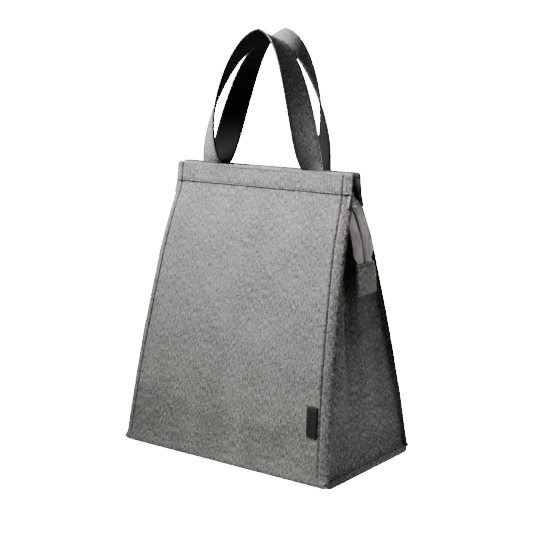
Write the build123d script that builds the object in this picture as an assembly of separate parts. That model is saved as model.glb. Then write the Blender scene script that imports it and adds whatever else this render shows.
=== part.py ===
from build123d import *
from math import atan, cos, pi, radians, sin
import os

# An insulated cooler bag with a wide base, a narrow zipped mouth and two carrying handles.
# Millimetres. X is the width, -Y the front, +Z up; the origin is the middle of the base, on the floor.
# The front, back and right-hand pieces are built once; the others are their mirror images.

os.makedirs("parts", exist_ok=True)

# ---- driving dimensions -------------------------------------------------------------------------
BODY_HEIGHT = 280.0  # floor to the top edge of the bands
BASE_DEPTH = 148.0  # front fold to back fold
NECK_DEPTH = 22.0  # across both walls where they bend towards the vertical
TOP_DEPTH = 16.0  # across both walls at the top edge
NECK_HEIGHT = 258.0
BASE_WIDTH = 236.0  # between the side seams, at the floor
NECK_WIDTH = 198.0  # between the side seams, from the neck up
SEAM_WIDTH = 7.0  # how far each pinched edge seam stands out
FOLD_RADIUS = 6.0  # fold between the base and a wall

CLOTH = 0.8
FOAM = 3.0
LINER = 0.5
BOARD = 1.2
SEAM_NEAR, SEAM_FAR = 0.4, 2.4  # depth range of an edge seam behind a wall's outer face
CLEARANCE = 0.3  # between pieces that move apart

BAND_FOOT = 260.5  # lower edge of the top bands
FACING_FOOT = 248.0  # lower edge of the inner facings
WALL_FOOT = FOLD_RADIUS + CLEARANCE
GUSSET_TOP = 240.0

STRAP_WIDTH = 25.0
STRAP_LAYER = 1.2  # grey strap and black lining, each
STRAP_X = 60.0  # middle of a handle's foot
FOOT_TUCK = 18.0  # length of a foot hidden in the band
FOOT_DEPTH = 2.3  # middle of a foot behind the wall's outer face
HANDLE_TOP = 404.0  # middle of the strap at the top of the arch
HANDLE_TILT = 26.5  # degrees, outer edge of the strap raised at the top
TURN_EASE = 0.64  # below 1, a leg does more of its quarter turn near the foot

ZIP_HEIGHT = 246.0  # middle of the teeth
ZIP_HALF = 93.0  # half the length of the straight row of teeth
TOOTH_INNER, TOOTH_OUTER = 0.5, 2.0  # a row of teeth, from the middle plane
TOOTH_THICK = 1.6
TAPE_THICK = 0.8
TAPE_HALF = 96.0
TAPE_LEVEL = 3.8  # the tape is level from the teeth to here, from the middle plane
TAPE_RISE = 9.0  # sewn edge of the tape above the teeth
SLIDER_PARK = -86.0  # the slider's place when the zip is closed
TAB_WIDTH, TAB_TOP, TAB_FOOT = 28.0, 200.0, 169.0
TAB_X, TAB_THICK = 116.6, 2.4  # folded over, both layers
TAB_LEAN = 4.0  # degrees, following the tail
STOP_SIZE = (2.4, 3.6, 2.0)
STOP_GAP = 2.0  # last tooth to the middle of the stop

LABEL_TOP, LABEL_FOOT = 73.0, 45.5
LABEL_WIDTH = 12.0
LABEL_GAP = 5.0  # label to the edge of the front panel

# ---- the wall's side view -----------------------------------------------------------------------
WALL_SLOPE = (BASE_DEPTH - NECK_DEPTH) / 2 / (NECK_HEIGHT - FOLD_RADIUS)
NECK_SLOPE = (NECK_DEPTH - TOP_DEPTH) / 2 / (BODY_HEIGHT - NECK_HEIGHT)
WALL_COS, NECK_COS = cos(atan(WALL_SLOPE)), cos(atan(NECK_SLOPE))
FAR = 400.0  # longer than any piece
# (height, how far the padded wall bows out of the straight line from base to neck)
WALL_BOW = ((FOLD_RADIUS, 0.0), (65.0, 4.5), (150.0, 7.0), (215.0, 6.5), (255.0, 0.0))


def bend_height(depth):
    """Height at which a surface this deep in the wall bends at the neck."""
    return NECK_HEIGHT + depth * (1 / NECK_COS - 1 / WALL_COS) / (WALL_SLOPE - NECK_SLOPE)


def bow(height):
    """How far the wall bows out at a height."""
    for (low, start), (high, end) in zip(WALL_BOW, WALL_BOW[1:]):
        if low < height < high:
            return start + (end - start) * (height - low) / (high - low)
    return dict(WALL_BOW).get(height, 0.0)


def wall_y(height, depth):
    """Y of the front wall at a height, this deep behind its outer face."""
    if height < bend_height(depth):
        straight = -NECK_DEPTH / 2 + (height - NECK_HEIGHT) * WALL_SLOPE + depth / WALL_COS
        return straight - bow(height)
    return -NECK_DEPTH / 2 + (height - NECK_HEIGHT) * NECK_SLOPE + depth / NECK_COS


def half_width(height):
    """Half the width of the bag between its side seams."""
    share = min(height, NECK_HEIGHT) / NECK_HEIGHT
    return (BASE_WIDTH + (NECK_WIDTH - BASE_WIDTH) * share) / 2


def side_profile(points):
    """Solid with this outline in Y and Z, all the way across the bag."""
    return extrude(Plane.YZ * make_face(Polyline(*points, close=True)), FAR / 2, both=True)


def front_profile(points):
    """Solid with this outline in X and Z, all the way through the bag."""
    return extrude(Plane.XZ * make_face(Polyline(*points, close=True)), FAR / 2, both=True)


def wall_slab(near, far, foot, top):
    """The stretch of the front wall between two depths and two heights, endless to the sides."""
    outer = [(wall_y(foot, near), foot)]
    inner = [(wall_y(foot, far), foot)]
    for line, depth in ((outer, near), (inner, far)):
        bends = [height for height, _ in WALL_BOW] + [bend_height(depth)]
        line += [(wall_y(height, depth), height) for height in bends if foot < height < top]
        line.append((wall_y(top, depth), top))
    return side_profile(outer + inner[::-1])


def wall_outline(grow):
    """The front wall's outline in X and Z, grown sideways."""
    corners = [(half_width(0) + grow, 0), (half_width(NECK_HEIGHT) + grow, NECK_HEIGHT)]
    corners.append((half_width(NECK_HEIGHT) + grow, BODY_HEIGHT))
    return front_profile(corners + [(-x, z) for x, z in reversed(corners)])


def wall_layer(near, far, foot=WALL_FOOT, top=BODY_HEIGHT, inset=0.0):
    return wall_slab(near, far, foot, top) & wall_outline(-inset)


# ---- walls --------------------------------------------------------------------------------------
FACING_DEPTH = CLOTH + FOAM
LINER_DEPTH = FACING_DEPTH + LINER
WALL_DEPTH = FACING_DEPTH + CLOTH  # the whole wall where it is faced


def handle_feet():
    slab = wall_slab(FOOT_DEPTH - STRAP_LAYER, FOOT_DEPTH + STRAP_LAYER, BODY_HEIGHT - FOOT_TUCK, BODY_HEIGHT)
    feet = []
    for x in (-STRAP_X, STRAP_X):
        feet.append(slab & Pos(x, 0, BODY_HEIGHT) * Box(STRAP_WIDTH, FAR, 3 * FOOT_TUCK))
    return Compound(children=feet)


def wall_seam():
    """The pinched seam along the wall's right edge."""
    strip = wall_outline(SEAM_WIDTH) - wall_outline(0)
    right = Pos(FAR / 2, 0, 0) * Box(FAR, FAR, 3 * FAR)
    return wall_slab(SEAM_NEAR, SEAM_FAR, WALL_FOOT, BODY_HEIGHT) & strip & right


def zip_tape():
    """Sewn to the facing's lower part, sloping down to a level edge that holds the teeth."""
    top = ZIP_HEIGHT + TAPE_RISE
    drop = 1.6 * TAPE_THICK
    upper, lower = ZIP_HEIGHT + TAPE_THICK / 2, ZIP_HEIGHT - TAPE_THICK / 2
    outline = [
        (wall_y(top, WALL_DEPTH), top),
        (-TAPE_LEVEL, upper),
        (-TOOTH_OUTER, upper),
        (-TOOTH_OUTER, lower),
        (-TAPE_LEVEL, lower),
        (wall_y(top - drop, WALL_DEPTH), top - drop),
    ]
    across = Box(2 * TAPE_HALF, FAR, 3 * FAR)
    return side_profile(outline) & across


def zip_teeth():
    middle = -(TOOTH_INNER + TOOTH_OUTER) / 2
    row = Box(2 * ZIP_HALF, TOOTH_OUTER - TOOTH_INNER, TOOTH_THICK)
    return Pos(0, middle, ZIP_HEIGHT) * row


def label():
    """A plain woven patch beside the front's right seam, leaning with it."""
    right = [(half_width(z) - LABEL_GAP, z) for z in (LABEL_FOOT, LABEL_TOP)]
    left = [(x - LABEL_WIDTH, z) for x, z in right]
    patch = front_profile(right + left[::-1])
    return patch & wall_slab(-CLOTH, 0, LABEL_FOOT - 1, LABEL_TOP + 1)


feet = handle_feet()
wall_pieces = {
    "panel": wall_layer(0, CLOTH, top=BAND_FOOT),
    "band": wall_layer(0, CLOTH, foot=BAND_FOOT),
    "foam": wall_layer(CLOTH, FACING_DEPTH, inset=1.0) - feet,
    "liner": wall_layer(FACING_DEPTH, LINER_DEPTH, top=FACING_FOOT, inset=1.0),
    "facing": wall_layer(FACING_DEPTH, WALL_DEPTH, foot=FACING_FOOT, inset=1.0),
    "handle_feet": feet,
    "zip_tape": zip_tape(),
    "zip_teeth": zip_teeth(),
}

# ---- base ---------------------------------------------------------------------------------------
FLAT_HALF = BASE_DEPTH / 2 - FOLD_RADIUS


def base_panel():
    """The cloth under the bag, turned up into a quarter round at the front and the back."""
    outer, inner = FOLD_RADIUS, FOLD_RADIUS - CLOTH
    with BuildSketch(Plane.YZ) as section:
        with BuildLine():
            Line((-FLAT_HALF, 0), (FLAT_HALF, 0))
            CenterArc((FLAT_HALF, outer), outer, -90, 90)
            Line((FLAT_HALF + outer, outer), (FLAT_HALF + inner, outer))
            CenterArc((FLAT_HALF, outer), inner, 0, -90)
            Line((FLAT_HALF, CLOTH), (-FLAT_HALF, CLOTH))
            CenterArc((-FLAT_HALF, outer), inner, -90, -90)
            Line((-FLAT_HALF - inner, outer), (-FLAT_HALF - outer, outer))
            CenterArc((-FLAT_HALF, outer), outer, 180, 90)
        make_face()
    return extrude(section.sketch, BASE_WIDTH / 2, both=True)


def base_layer(foot, top, inset):
    size = (BASE_WIDTH - 2 * inset, 2 * FLAT_HALF, top - foot)
    return Pos(0, 0, (foot + top) / 2) * Box(*size)


BOARD_TOP = CLOTH + BOARD
BASE_TOP = BOARD_TOP + FOAM + LINER


BASE_SEAM_REACH, BASE_SEAM_THICK = 4.0, 2.5


def base_seam():
    """The pinched seam under the right gusset, which slants out to the floor."""
    edge = BASE_WIDTH / 2
    out = edge + BASE_SEAM_REACH
    outline = [(edge, BASE_TOP), (out + BASE_SEAM_THICK, 0), (out, 0), (edge, BASE_TOP - BASE_SEAM_THICK)]
    return extrude(Plane.XZ * make_face(Polyline(*outline, close=True)), FLAT_HALF, both=True)


# ---- gussets ------------------------------------------------------------------------------------
# (height, how far the middle of the gusset is tucked in)
GUSSET_TUCK = ((BASE_TOP, 0.0), (65.0, 5.0), (150.0, 8.0), (215.0, 12.3), (GUSSET_TOP, 14.0))


def gusset_sheet(near, far):
    """One layer of the right gusset: two half sheets that meet along the fold in its middle."""
    sections = []
    for height, tuck in GUSSET_TUCK:
        reach = -wall_y(height, WALL_DEPTH) - CLEARANCE
        edge = half_width(height)
        corners = [(edge - near, -reach), (edge - near - tuck, 0)]
        corners += [(edge - far - tuck, 0), (edge - far, -reach)]
        sections.append(Wire.make_polygon([Vector(x, y, height) for x, y in corners]))
    half = Solid.make_loft(sections, ruled=True)
    return Compound(children=[half, mirror(half, about=Plane.XZ)])


# ---- zip tail, end tab and stops ----------------------------------------------------------------
# (distance out, height, half the width, slope of the tail below level in degrees)
TAIL_ROUTE = (
    (97.0, 248.0, 7.0, 34),
    (101.0, 244.6, 9.0, 50),
    (104.5, 239.0, 11.0, 64),
    (109.8, 223.7, 13.0, 76),
    (113.2, 208.0, 13.8, 82),
    (114.4, 200.8, 14.0, 84),
)


def tail_strip(y_near, y_far, thick):
    """A strip of the right zip tail; y_near and y_far are limits across it, None for its edge."""
    sections = []
    for x, z, half, slope in TAIL_ROUTE:
        up = Vector(sin(radians(slope)), 0, cos(radians(slope))) * (thick / 2)
        far = half if y_far is None else y_far
        corners = [(y_near, 1), (far, 1), (far, -1), (y_near, -1)]
        sections.append(Wire.make_polygon([Vector(x, y, z) + up * side for y, side in corners]))
    return Solid.make_loft(sections, ruled=True)


def zip_tail():
    back = tail_strip(TOOTH_OUTER, None, TAPE_THICK)
    return Compound(children=[back, mirror(back, about=Plane.XZ)])


def end_tab():
    """A cloth tab folded over the end of the zip tail."""
    tab = Box(TAB_THICK, TAB_WIDTH, TAB_TOP - TAB_FOOT)
    return Pos(TAB_X, 0, (TAB_TOP + TAB_FOOT) / 2) * Rot(0, -TAB_LEAN, 0) * tab


def zip_stop():
    return Pos(ZIP_HALF + STOP_GAP, 0, ZIP_HEIGHT) * Box(*STOP_SIZE)


# ---- zip slider and pull ------------------------------------------------------------------------
PLATE_GAP = 1.2  # free height above and below the middle of the teeth
PLATE = 1.2
SHOE_LENGTH, SHOE_WIDTH = 10.0, 6.4
BRIDGE_LENGTH = 3.0
BRIDGE_PLAY = 0.2  # between the bridge and each row of teeth
LUG_LENGTH, LUG_THICK = 2.4, 1.0
PIN_RADIUS, PIN_PLAY = 0.8, 0.08
PIVOT_HEIGHT = ZIP_HEIGHT + PLATE_GAP + PLATE + 2.2
PULL_LENGTH, PULL_WIDTH, PULL_THICK = 22.0, 3.0, 1.2
PULL_PLAY = 0.2  # between the pull and each lug
EYE_RADIUS = 1.9
GRIP_LENGTH, GRIP_WIDTH, GRIP_X = 12.0, 4.6, 17.0
HOLE_RADIUS, HOLE_X = 1.1, 20.2


def slider():
    """Two shoes joined by a narrow bridge between the rows, with lugs and a pin for the pull."""
    shoe = SlotOverall(SHOE_LENGTH, SHOE_WIDTH)
    height = PLATE_GAP + PLATE
    upper = Pos(0, 0, PLATE_GAP) * extrude(shoe, PLATE)
    lower = Pos(0, 0, -height) * extrude(shoe, PLATE)
    body = upper + lower + Box(BRIDGE_LENGTH, 2 * (TOOTH_INNER - BRIDGE_PLAY), 2 * height)
    pivot = PIVOT_HEIGHT - ZIP_HEIGHT
    lug_top = pivot + LUG_LENGTH / 2
    lug_y = (PULL_WIDTH + LUG_THICK) / 2 + PULL_PLAY
    for y in (-lug_y, lug_y):
        body += Pos(0, y, (PLATE_GAP + lug_top) / 2) * Box(LUG_LENGTH, LUG_THICK, lug_top - PLATE_GAP)
    body += Pos(0, 0, pivot) * Rot(90, 0, 0) * Cylinder(PIN_RADIUS, PULL_WIDTH + 2 * LUG_THICK)
    return Pos(SLIDER_PARK, 0, ZIP_HEIGHT) * body


def pull():
    """A flat pull with an eye round the slider's pin, lying along the zip."""
    eye = Rot(90, 0, 0) * Cylinder(EYE_RADIUS, PULL_WIDTH)
    arm = Pos(PULL_LENGTH / 2, 0, 0) * Box(PULL_LENGTH, PULL_WIDTH, PULL_THICK)
    grip = Pos(GRIP_X, 0, -PULL_THICK / 2) * extrude(SlotOverall(GRIP_LENGTH, GRIP_WIDTH), PULL_THICK)
    hole = Pos(HOLE_X, 0, 0) * Cylinder(HOLE_RADIUS, 4 * PULL_THICK)
    bore = Rot(90, 0, 0) * Cylinder(PIN_RADIUS + PIN_PLAY, 2 * PULL_WIDTH)
    return Pos(SLIDER_PARK, 0, PIVOT_HEIGHT) * (eye + arm + grip - bore - hole)


# ---- handles ------------------------------------------------------------------------------------
HANDLE_FOOT = BODY_HEIGHT + 1.2  # the leaning strap's lower edge is just clear of the band
SECTIONS = 12  # per leg
# control points of one leg: distance out from the foot or the top, distance forward, height
LEG_RISE = (-0.4, 27.0, 320.0)
LEG_SHOULDER = (33.0, 14.9, 404.4)
TOP_FORWARD = 14.0  # middle of the strap from the bag's middle plane, at the top


def bezier(controls, share):
    a, b, c, d = controls
    rest = 1 - share
    return a * rest**3 + b * (3 * rest * rest * share) + c * (3 * rest * share**2) + d * share**3


def bezier_way(controls, share):
    a, b, c, d = controls
    rest = 1 - share
    way = (b - a) * rest * rest + (c - b) * (2 * rest * share) + (d - c) * share**2
    return way.normalized()


def leg_frames(side, top_x):
    """Points up one leg of the front handle: middle, direction across the strap, outward face.
    The strap turns a quarter turn between its foot and the top of the arch."""
    foot_y = -wall_y(BODY_HEIGHT, FOOT_DEPTH)
    controls = [
        Vector(side * STRAP_X, -foot_y, HANDLE_FOOT),
        Vector(side * (STRAP_X + LEG_RISE[0]), -LEG_RISE[1], LEG_RISE[2]),
        Vector(top_x + side * LEG_SHOULDER[0], -LEG_SHOULDER[1], LEG_SHOULDER[2]),
        Vector(top_x, -TOP_FORWARD, HANDLE_TOP),
    ]
    frames = []
    for step in range(SECTIONS + 1):
        share = step / SECTIONS
        way = bezier_way(controls, share)
        inside = way.cross(Vector(0, 1, 0)).normalized() * side
        forward = Vector(0, -1, 0)
        turn = pi / 2 * share**TURN_EASE
        across = (inside * cos(turn) + forward * sin(turn)).normalized()
        across = (across - way * across.dot(way)).normalized()
        face = way.cross(across) * side
        tilt = radians(HANDLE_TILT) * share**2
        across, face = across * cos(tilt) + face * sin(tilt), face * cos(tilt) - across * sin(tilt)
        frames.append((bezier(controls, share), across, face))
    return frames


def handle_layer(near, far, top_x):
    """One layer of the front handle's strap, from foot to foot."""
    left = leg_frames(-1, top_x)
    right = leg_frames(1, top_x)
    sections = []
    for middle, across, face in left + right[-2::-1]:
        side = across * (STRAP_WIDTH / 2)
        corners = [middle - side + face * near, middle + side + face * near]
        corners += [middle + side + face * far, middle - side + face * far]
        sections.append(Wire.make_polygon(corners))
    return Solid.make_loft(sections, ruled=True)


FRONT_TOP_X, BACK_TOP_X = 10.7, 6.0  # the arches lean slightly to the right, the front one more

# ---- the whole bag ------------------------------------------------------------------------------
pieces = {
    "base_panel": base_panel(),
    "base_board": base_layer(CLOTH, BOARD_TOP, 4.0),
    "base_foam": base_layer(BOARD_TOP, BOARD_TOP + FOAM, 1.0),
    "base_liner": base_layer(BOARD_TOP + FOAM, BASE_TOP, 1.0),
    "label": label(),
    "zip_slider": slider(),
    "zip_pull": pull(),
}
for name, solid in wall_pieces.items():
    pieces["front_" + name] = solid
    pieces["back_" + name] = mirror(solid, about=Plane.XZ)

seam = wall_seam()
for side, flipped in (("front", seam), ("back", mirror(seam, about=Plane.XZ))):
    pieces[side + "_seam_right"] = flipped
    pieces[side + "_seam_left"] = mirror(flipped, about=Plane.YZ)

side_pieces = {
    "base_seam": base_seam(),
    "gusset_cloth": gusset_sheet(0, CLOTH),
    "gusset_foam": gusset_sheet(CLOTH, CLOTH + FOAM),
    "gusset_liner": gusset_sheet(CLOTH + FOAM, CLOTH + FOAM + LINER),
    "zip_tail": zip_tail(),
    "zip_tail_teeth": tail_strip(-TOOTH_OUTER, TOOTH_OUTER, TOOTH_THICK),
    "zip_end_tab": end_tab(),
    "zip_stop": zip_stop(),
}
for name, solid in side_pieces.items():
    pieces[name + "_right"] = solid
    pieces[name + "_left"] = mirror(solid, about=Plane.YZ)

for side, top_x in (("front", FRONT_TOP_X), ("back", BACK_TOP_X)):
    strap = handle_layer(0, STRAP_LAYER, top_x)
    lining = handle_layer(-STRAP_LAYER, 0, top_x)
    if side == "back":
        strap, lining = mirror(strap, about=Plane.XZ), mirror(lining, about=Plane.XZ)
    pieces[side + "_handle_strap"] = strap
    pieces[side + "_handle_lining"] = lining

for name, solid in pieces.items():
    export_step(solid, f"parts/{name}.step")
print(len(pieces), "pieces")
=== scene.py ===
import math

import bmesh
import bpy
import numpy as np
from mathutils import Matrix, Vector, noise


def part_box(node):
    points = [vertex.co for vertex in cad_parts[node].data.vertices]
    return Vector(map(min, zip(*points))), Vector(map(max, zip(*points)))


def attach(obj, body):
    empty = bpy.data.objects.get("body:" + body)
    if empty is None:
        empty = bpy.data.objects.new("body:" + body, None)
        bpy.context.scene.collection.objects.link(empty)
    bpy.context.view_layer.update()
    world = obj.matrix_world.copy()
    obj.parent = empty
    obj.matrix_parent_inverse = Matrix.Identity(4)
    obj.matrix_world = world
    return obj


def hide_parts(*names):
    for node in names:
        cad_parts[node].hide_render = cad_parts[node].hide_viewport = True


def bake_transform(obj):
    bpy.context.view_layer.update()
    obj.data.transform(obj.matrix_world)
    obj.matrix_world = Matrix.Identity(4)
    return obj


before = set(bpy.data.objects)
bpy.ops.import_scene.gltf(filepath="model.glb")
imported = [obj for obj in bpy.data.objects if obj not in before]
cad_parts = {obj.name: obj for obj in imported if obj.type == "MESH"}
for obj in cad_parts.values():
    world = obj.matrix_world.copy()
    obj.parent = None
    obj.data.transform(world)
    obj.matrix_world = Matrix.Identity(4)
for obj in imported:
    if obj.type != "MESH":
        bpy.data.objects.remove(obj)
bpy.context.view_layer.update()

# An insulated cooler bag: melange cloth over foam, a foil lining, a zipped mouth and two handles.
# Metres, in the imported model's frame: X is the width, -Y the front and +Z up.
# Shapes are worked out for the front and the right; those at the back and left are turned over.

# ---- driving dimensions -------------------------------------------------------------------------
MM = 0.001
base_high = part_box("base_panel")[1]
band_low, band_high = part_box("front_band")
facing_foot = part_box("front_facing")[0].z
gusset_low, gusset_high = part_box("gusset_cloth_right")
tab_low, tab_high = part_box("zip_end_tab_right")
label_low, label_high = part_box("label")

HEIGHT = band_high.z
BASE_HALF, DEPTH_HALF, FOLD = base_high
NECK_HALF, BAND_FOOT = band_high.x, band_low.z
NECK_Z, NECK_Y, TOP_Y = 258 * MM, 11 * MM, 8 * MM
SLOPE = (DEPTH_HALF - NECK_Y) / (NECK_Z - FOLD)
NECK_SLOPE = (NECK_Y - TOP_Y) / (HEIGHT - NECK_Z)
CLOTH, FOAM = 0.8 * MM, 3.0 * MM
FACING_DEPTH = CLOTH + FOAM
WALL_DEPTH = FACING_DEPTH + CLOTH
SEAM_REACH = 6.4 * MM
SEAM_IN = 2.9 * MM  # the upright seams are stitched this far inside the half width
CORNER = 15 * MM  # rounding at the foot of an upright seam
GUSSET_FOOT, GUSSET_TOP = gusset_low.z, gusset_high.z
FOIL_THICK, TAPE_THICK = 0.25 * MM, 0.35 * MM
ZIP_Z = 246 * MM
TAPE_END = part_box("front_zip_tape")[1].x
TEETH_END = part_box("front_zip_teeth")[1].x


# height, and how far the padded wall bows out of the straight line from base to neck
WALL_BOW = np.array(
    ((6, 0), (40, 3.0), (65, 5.0), (105, 7.0), (150, 7.6), (190, 7.3), (215, 6.2), (235, 3.6), (255, 0))
) * MM


def bow(z):
    """How far the wall bows out at height z, without corners."""
    spread = np.array([-9, -3, 3, 9]) * MM
    return sum(np.interp(z + offset, WALL_BOW[:, 0], WALL_BOW[:, 1]) for offset in spread) / len(spread)


def wall_y(z, depth=0.0):
    """Y of the front wall at height z, this deep behind its outer face."""
    lower = -NECK_Y + (z - NECK_Z) * SLOPE + depth * math.hypot(1, SLOPE) - bow(z)
    upper = -NECK_Y + (z - NECK_Z) * NECK_SLOPE + depth * math.hypot(1, NECK_SLOPE)
    return np.minimum(lower, upper)


def half_width(z):
    """Half the width between the side seams at height z."""
    return BASE_HALF + (NECK_HALF - BASE_HALF) * np.clip(z, 0, NECK_Z) / NECK_Z


def ease(value, start, end):
    """0 at start, 1 at end, smooth between."""
    t = np.clip((value - start) / (end - start), 0, 1)
    return t * t * (3 - 2 * t)


def hollow(distance, width):
    """1 on a line, fading on both sides of it over this width."""
    return np.exp(-((distance / width) ** 2))


def rough(points, size, seed):
    """Smooth noise from about -1 to 1, with features of this size."""
    shifted = np.asarray(points).reshape(-1, 3) / size + 13.7 * seed
    values = [noise.noise(Vector(p)) for p in shifted]
    return 2 * np.array(values).reshape(np.shape(points)[:-1])


def lumps(points, seed, *layers):
    """Layers of noise added up, in metres. Each layer is its height and its features' size, in mm."""
    parts = [height * rough(points, size * MM, seed + k) for k, (height, size) in enumerate(layers)]
    return sum(parts) * MM


def corner_round(z):
    """Share of its reach that an upright seam has at height z, rounded off at the floor."""
    return np.sqrt(1 - (1 - np.clip(z, 0.02 * CORNER, CORNER) / CORNER) ** 2)


# ---- mesh helpers -------------------------------------------------------------------------------
def link(name, mesh):
    piece = bpy.data.objects.new(name, mesh)
    bpy.context.scene.collection.objects.link(piece)
    return piece


def grid_piece(name, points, uv, flip=False, closed=False, wear_and_fold_shade=None):
    """A sheet from a grid of points (rows, columns, 3). uv is in metres; a closed grid joins its
    last column to its first, and its uv has one column more."""
    rows, cols = points.shape[:2]
    index = np.arange(rows * cols).reshape(rows, cols)
    if closed:
        index = np.concatenate([index, index[:, :1]], axis=1)

    def corners(values):
        four = [values[:-1, :-1], values[:-1, 1:], values[1:, 1:], values[1:, :-1]]
        if flip:
            four = four[::-1]
        return np.stack(four, axis=2)

    faces = corners(index).reshape(-1, 4).tolist()
    wrapped = corners(uv).reshape(-1, 2)
    if closed:
        faces += [index[0, :-1].tolist(), index[-1, :-1].tolist()]
        wrapped = np.concatenate([wrapped, uv[0, :-1], uv[-1, :-1]])
    mesh = bpy.data.meshes.new(name)
    mesh.from_pydata(points.reshape(-1, 3).tolist(), [], faces)
    mesh.uv_layers.new(name="weave").data.foreach_set("uv", wrapped.ravel())
    worn = mesh.attributes.new("wear_and_fold_shade", "FLOAT", "POINT")
    worn.data.foreach_set("value", np.zeros(rows * cols) if wear_and_fold_shade is None else wear_and_fold_shade.ravel())
    if closed:
        outward(mesh)
    mesh.shade_smooth()
    return link(name, mesh)


def outward(mesh):
    """Turns the faces of a closed mesh outward."""
    work = bmesh.new()
    work.from_mesh(mesh)
    bmesh.ops.recalc_face_normals(work, faces=work.faces)
    work.to_mesh(mesh)
    work.free()


def thicken(piece, thickness, offset=-1.0):
    solid = piece.modifiers.new("thickness", "SOLIDIFY")
    solid.thickness = thickness
    solid.offset = offset
    return piece


def soften(piece, width):
    bevel = piece.modifiers.new("edges", "BEVEL")
    bevel.width = width
    bevel.segments = 2
    bevel.limit_method = "ANGLE"
    bevel.harden_normals = False
    return piece


def turn(points, back=False, left=False):
    """The points on the bag's other side."""
    return points * np.array([-1 if left else 1, -1 if back else 1, 1])


def grid(*values):
    """Points, or rows of uv, from matching arrays of their coordinates."""
    return np.stack(np.broadcast_arrays(*values), axis=-1)


def side_of(back):
    return "back" if back else "front"


def hand_of(left):
    return "left" if left else "right"


def unit(vectors):
    return vectors / np.linalg.norm(vectors, axis=-1, keepdims=True)


def run_length(points):
    """Length from the first of a row of points to each of them."""
    steps = np.linalg.norm(np.diff(points, axis=0), axis=1)
    return np.concatenate([[0], np.cumsum(steps)])


def spread_uv(points):
    """Surface lengths along and across a grid of points."""
    down = np.linalg.norm(np.diff(points, axis=0), axis=2).mean(axis=1)
    over = np.linalg.norm(np.diff(points, axis=1), axis=2).mean(axis=0)
    v = np.concatenate([[0], np.cumsum(down)])
    u = np.concatenate([[0], np.cumsum(over)])
    return grid(u, v[:, None])


def loop_length(section):
    """Lengths round a closed section, one more than its points."""
    return run_length(np.concatenate([section, section[:1]]))


# ---- materials ----------------------------------------------------------------------------------
class Tree:
    """Short calls that build one material's nodes."""

    def __init__(self, name, **sockets):
        self.material = bpy.data.materials.new(name)
        self.material.use_nodes = True
        self.nodes = self.material.node_tree.nodes
        self.links = self.material.node_tree.links
        self.shader = self.nodes["Principled BSDF"]
        for socket, value in sockets.items():
            self.shader.inputs[socket.replace("_", " ")].default_value = value

    def add(self, kind, *inputs, **settings):
        node = self.nodes.new("ShaderNode" + kind)
        for key, value in settings.items():
            setattr(node, key, value)
        for socket, value in zip(node.inputs, inputs):
            if isinstance(value, bpy.types.NodeSocket):
                self.links.new(value, socket)
            elif value is not None:
                socket.default_value = value
        return node

    def uv(self):
        return self.add("UVMap", uv_map="weave").outputs[0]

    def place(self):
        return self.add("TexCoord").outputs["Object"]

    def scaled(self, vector, x, y, z=1.0):
        return self.add("VectorMath", vector, (x, y, z), operation="MULTIPLY").outputs[0]

    def noise(self, vector, scale=1.0, detail=2.0, roughness=0.5):
        node = self.add("TexNoise", vector)
        node.inputs["Scale"].default_value = scale
        node.inputs["Detail"].default_value = detail
        node.inputs["Roughness"].default_value = roughness
        return node.outputs[0]

    def cells(self, vector, scale):
        node = self.add("TexVoronoi", vector)
        node.inputs["Scale"].default_value = scale
        return node.outputs["Distance"]

    def math(self, operation, a, b=0.0, c=0.0):
        return self.add("Math", a, b, c, operation=operation).outputs[0]

    def mix(self, share, a, b):
        """a + (b - a) * share, for numbers."""
        return self.add("Mix", share, None, a, b).outputs[0]

    def tones(self, value, stops):
        """Colour ramp through (position, grey or colour) stops."""
        node = self.add("ValToRGB", value)
        while len(node.color_ramp.elements) < len(stops):
            node.color_ramp.elements.new(0.5)
        for element, (position, tone) in zip(node.color_ramp.elements, stops):
            element.position = position
            colour = tone if isinstance(tone, tuple) else (tone, tone, tone)
            element.color = (*colour, 1)
        return node.outputs[0]

    def split(self, vector):
        return self.add("SeparateXYZ", vector).outputs

    def finish(self, colour=None, roughness=None, height=None, bump=0.0, strength=1.0):
        """Colour, roughness and relief; bump is the relief's depth in metres."""
        if colour is not None:
            self.links.new(colour, self.shader.inputs["Base Color"])
        if roughness is not None:
            self.links.new(roughness, self.shader.inputs["Roughness"])
        if height is not None:
            node = self.nodes.new("ShaderNodeBump")
            node.inputs["Strength"].default_value = strength
            node.inputs["Distance"].default_value = bump
            self.links.new(height, node.inputs["Height"])
            self.links.new(node.outputs[0], self.shader.inputs["Normal"])
        return self.material


def plain_weave(tree, uv, yarn):
    """Height and warp-over-weft mask of a plain weave with this yarn width."""
    x, y, _ = tree.split(tree.scaled(uv, math.pi / yarn, math.pi / yarn))
    across, along = tree.math("SINE", x), tree.math("SINE", y)
    over = tree.math("GREATER_THAN", tree.math("MULTIPLY", across, along), 0.0)
    warp = tree.math("ABSOLUTE", across)
    weft = tree.math("ABSOLUTE", along)
    return tree.mix(over, weft, warp), over


def painted_fold_shade(tree, colour):
    """Painted shade: colour darkened by ambient occlusion in folds and beside other pieces, less so near
    the floor.
    """
    recess = tree.add("AmbientOcclusion")
    recess.samples = 8
    recess.inputs["Distance"].default_value = 60 * MM
    # painted shade: the occlusion, raised to a power, darkens the colour
    deep = tree.math("POWER", recess.outputs["AO"], 2.9)
    height = tree.add("MapRange", tree.split(tree.place())[2], 20 * MM, 110 * MM, 0.1, 0.93)
    height.interpolation_type = "SMOOTHSTEP"
    share = height.outputs[0]
    deep = tree.math("ADD", tree.math("MULTIPLY", deep, share), tree.math("SUBTRACT", 1.0, share))
    shaded = tree.add("VectorMath", colour, None, operation="SCALE")
    tree.links.new(deep, shaded.inputs["Scale"])
    return shaded.outputs[0]


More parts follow.
